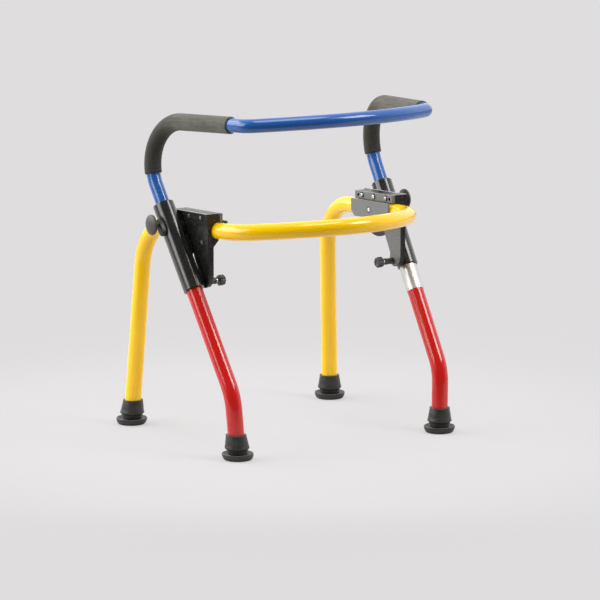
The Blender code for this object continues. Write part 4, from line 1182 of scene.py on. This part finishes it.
def make_floor(studio):
    """A plain floor that keeps its shadow and blends into the backdrop.

    To the camera it glows, and more so further from the frame. The paper ends a short
    way in front of the frame, where the room is dark.
    """
    work = bmesh.new()
    bmesh.ops.create_grid(work, x_segments=1, y_segments=1, size=40.0)
    mesh = bpy.data.meshes.new("studio_floor")
    work.to_mesh(mesh)
    work.free()
    floor = placed(mesh, "studio_floor")
    floor.location.z = -0.5 * MM
    material = bpy.data.materials.new("matt_studio_paper")
    material.use_nodes = True
    tree = material.node_tree
    tree.nodes.clear()
    place = add_node(tree, "ShaderNodeTexCoord").outputs["Object"]
    away = add_node(tree, "ShaderNodeVectorMath", (place,), operation="LENGTH")
    glows = add_node(tree, "ShaderNodeMapRange", (away.outputs["Value"], 0.25, 0.9, 0.7, 1.0),
                     **EASED)
    ray = add_node(tree, "ShaderNodeLightPath")
    seen = add_node(tree, "ShaderNodeMath", (glows, ray.outputs["Is Camera Ray"]),
                    operation="MULTIPLY")
    front = add_node(tree, "ShaderNodeVectorMath", (place, look_back()), operation="DOT_PRODUCT")
    paper = add_node(tree, "ShaderNodeBsdfDiffuse", {
        "Color": tint(tree, linear(PAPER), PAPER_END, front.outputs["Value"], 0.5, 0.95)})
    glow = add_node(tree, "ShaderNodeEmission", {"Color": studio, "Strength": 1.0})
    mix = add_node(tree, "ShaderNodeMixShader", (seen, paper, glow))
    add_node(tree, "ShaderNodeOutputMaterial", {"Surface": mix})
    mesh.materials.append(material)


def make_world(studio):
    """A room that is bright behind the frame and dim in front, under a plain backdrop."""
    world = bpy.data.worlds.new("studio")
    bpy.context.scene.world = world
    world.use_nodes = True
    tree = world.node_tree
    tree.nodes.clear()
    way = add_node(tree, "ShaderNodeTexCoord").outputs["Generated"]
    front = add_node(tree, "ShaderNodeVectorMath", (way, look_back()), operation="DOT_PRODUCT")
    level = add_node(tree, "ShaderNodeMapRange", (front.outputs["Value"], -0.35, 0.65, 1.15, 0.08),
                     **EASED)
    light = add_node(tree, "ShaderNodeBackground", {
        "Color": (1.0, 1.0, 1.0, 1.0), "Strength": level})
    seen = add_node(tree, "ShaderNodeBackground", {"Color": studio, "Strength": 1.0})
    ray = add_node(tree, "ShaderNodeLightPath")
    mix = add_node(tree, "ShaderNodeMixShader", (ray.outputs["Is Camera Ray"], light, seen))
    add_node(tree, "ShaderNodeOutputWorld", {"Surface": mix})


def make_lights():
    """Large soft lamps, as the camera sees it: left, left and behind, right, and above."""
    target = Vector((0.0, 0.0, 0.25))
    distance = 3.0
    for name, azimuth, elevation, size, power in (
            ("key_lamp", -104, 27, 2.0, 62),
            ("rim_lamp", -146, 30, 2.1, 52),
            ("fill_lamp", 36, 42, 1.2, 48),
            ("top_lamp", -10, 78, 1.6, 42)):
        back = back_vector(azimuth, elevation)
        data = bpy.data.lights.new(name, "AREA")
        data.shape = "SQUARE"
        data.size = size
        data.energy = power
        lamp = placed(data, name)
        lamp.location = target + back * distance
        lamp.rotation_euler = back.to_track_quat("Z", "Y").to_euler()


def back_vector(azimuth, elevation):
    """The direction from the frame towards something at an azimuth and elevation."""
    a, e = math.radians(azimuth), math.radians(elevation)
    return Vector((math.sin(a) * math.cos(e), -math.cos(a) * math.cos(e), math.sin(e)))


def look_back():
    """The direction from the frame towards the camera."""
    return back_vector(*CAMERA_ANGLE)


def make_camera():
    """A long lens at the frame's front right, at the photograph's angle and framing."""
    back = look_back()
    right = Vector((-back.y, back.x, 0.0)).normalized()
    up = back.cross(right)
    data = bpy.data.cameras.new("studio_camera")
    data.lens = SENSOR_WIDTH * FOCAL_PIXELS / IMAGE_PIXELS
    data.sensor_width = SENSOR_WIDTH
    data.clip_end = 100.0
    camera = placed(data, "studio_camera")
    aim = at(0, 0, CAMERA_AIM_HEIGHT)
    place = aim + back * CAMERA_BACK + right * CAMERA_RIGHT - up * CAMERA_DOWN
    camera.matrix_world = Matrix((
        (right.x, up.x, back.x, place.x), (right.y, up.y, back.y, place.y),
        (right.z, up.z, back.z, place.z), (0.0, 0.0, 0.0, 1.0)))
    bpy.context.scene.camera = camera


class WALKER_PT_panel(bpy.types.Panel):
    """Lists the frame's operators in the sidebar"""

    bl_label = "Walking frame"
    bl_idname = "WALKER_PT_panel"
    bl_space_type = "VIEW_3D"
    bl_region_type = "UI"
    bl_category = "Walking frame"

    def draw(self, context):
        for group in (context.scene.walker_sizes, context.scene.walker_colours):
            for key in group.__annotations__:
                self.layout.prop(group, key)
        for operator in OPERATORS:
            self.layout.operator(operator.bl_idname)


OPERATORS = (
    WALKER_OT_tubes, WALKER_OT_band, WALKER_OT_grips, WALKER_OT_feet, WALKER_OT_side_tubes,
    WALKER_OT_brackets, WALKER_OT_screws, WALKER_OT_knobs, WALKER_OT_stage,
)
CLASSES = (WalkerSizes, WalkerColours) + OPERATORS + (WALKER_PT_panel,)


def register():
    """Registers the classes and puts the sizes and colours on the scene."""
    for cls in CLASSES:
        bpy.utils.register_class(cls)
    bpy.types.Scene.walker_sizes = PointerProperty(type=WalkerSizes)
    bpy.types.Scene.walker_colours = PointerProperty(type=WalkerColours)


def unregister():
    """Takes away what register added."""
    del bpy.types.Scene.walker_colours
    del bpy.types.Scene.walker_sizes
    for cls in reversed(CLASSES):
        bpy.utils.unregister_class(cls)


def main():
    """Makes everything in order."""
    register()
    bpy.ops.walker.tubes()
    bpy.ops.walker.band()
    bpy.ops.walker.grips()
    bpy.ops.walker.feet()
    bpy.ops.walker.side_tubes()
    bpy.ops.walker.brackets()
    bpy.ops.walker.screws()
    bpy.ops.walker.knobs()
    bpy.ops.walker.stage()


if __name__ == "__main__":
    main()
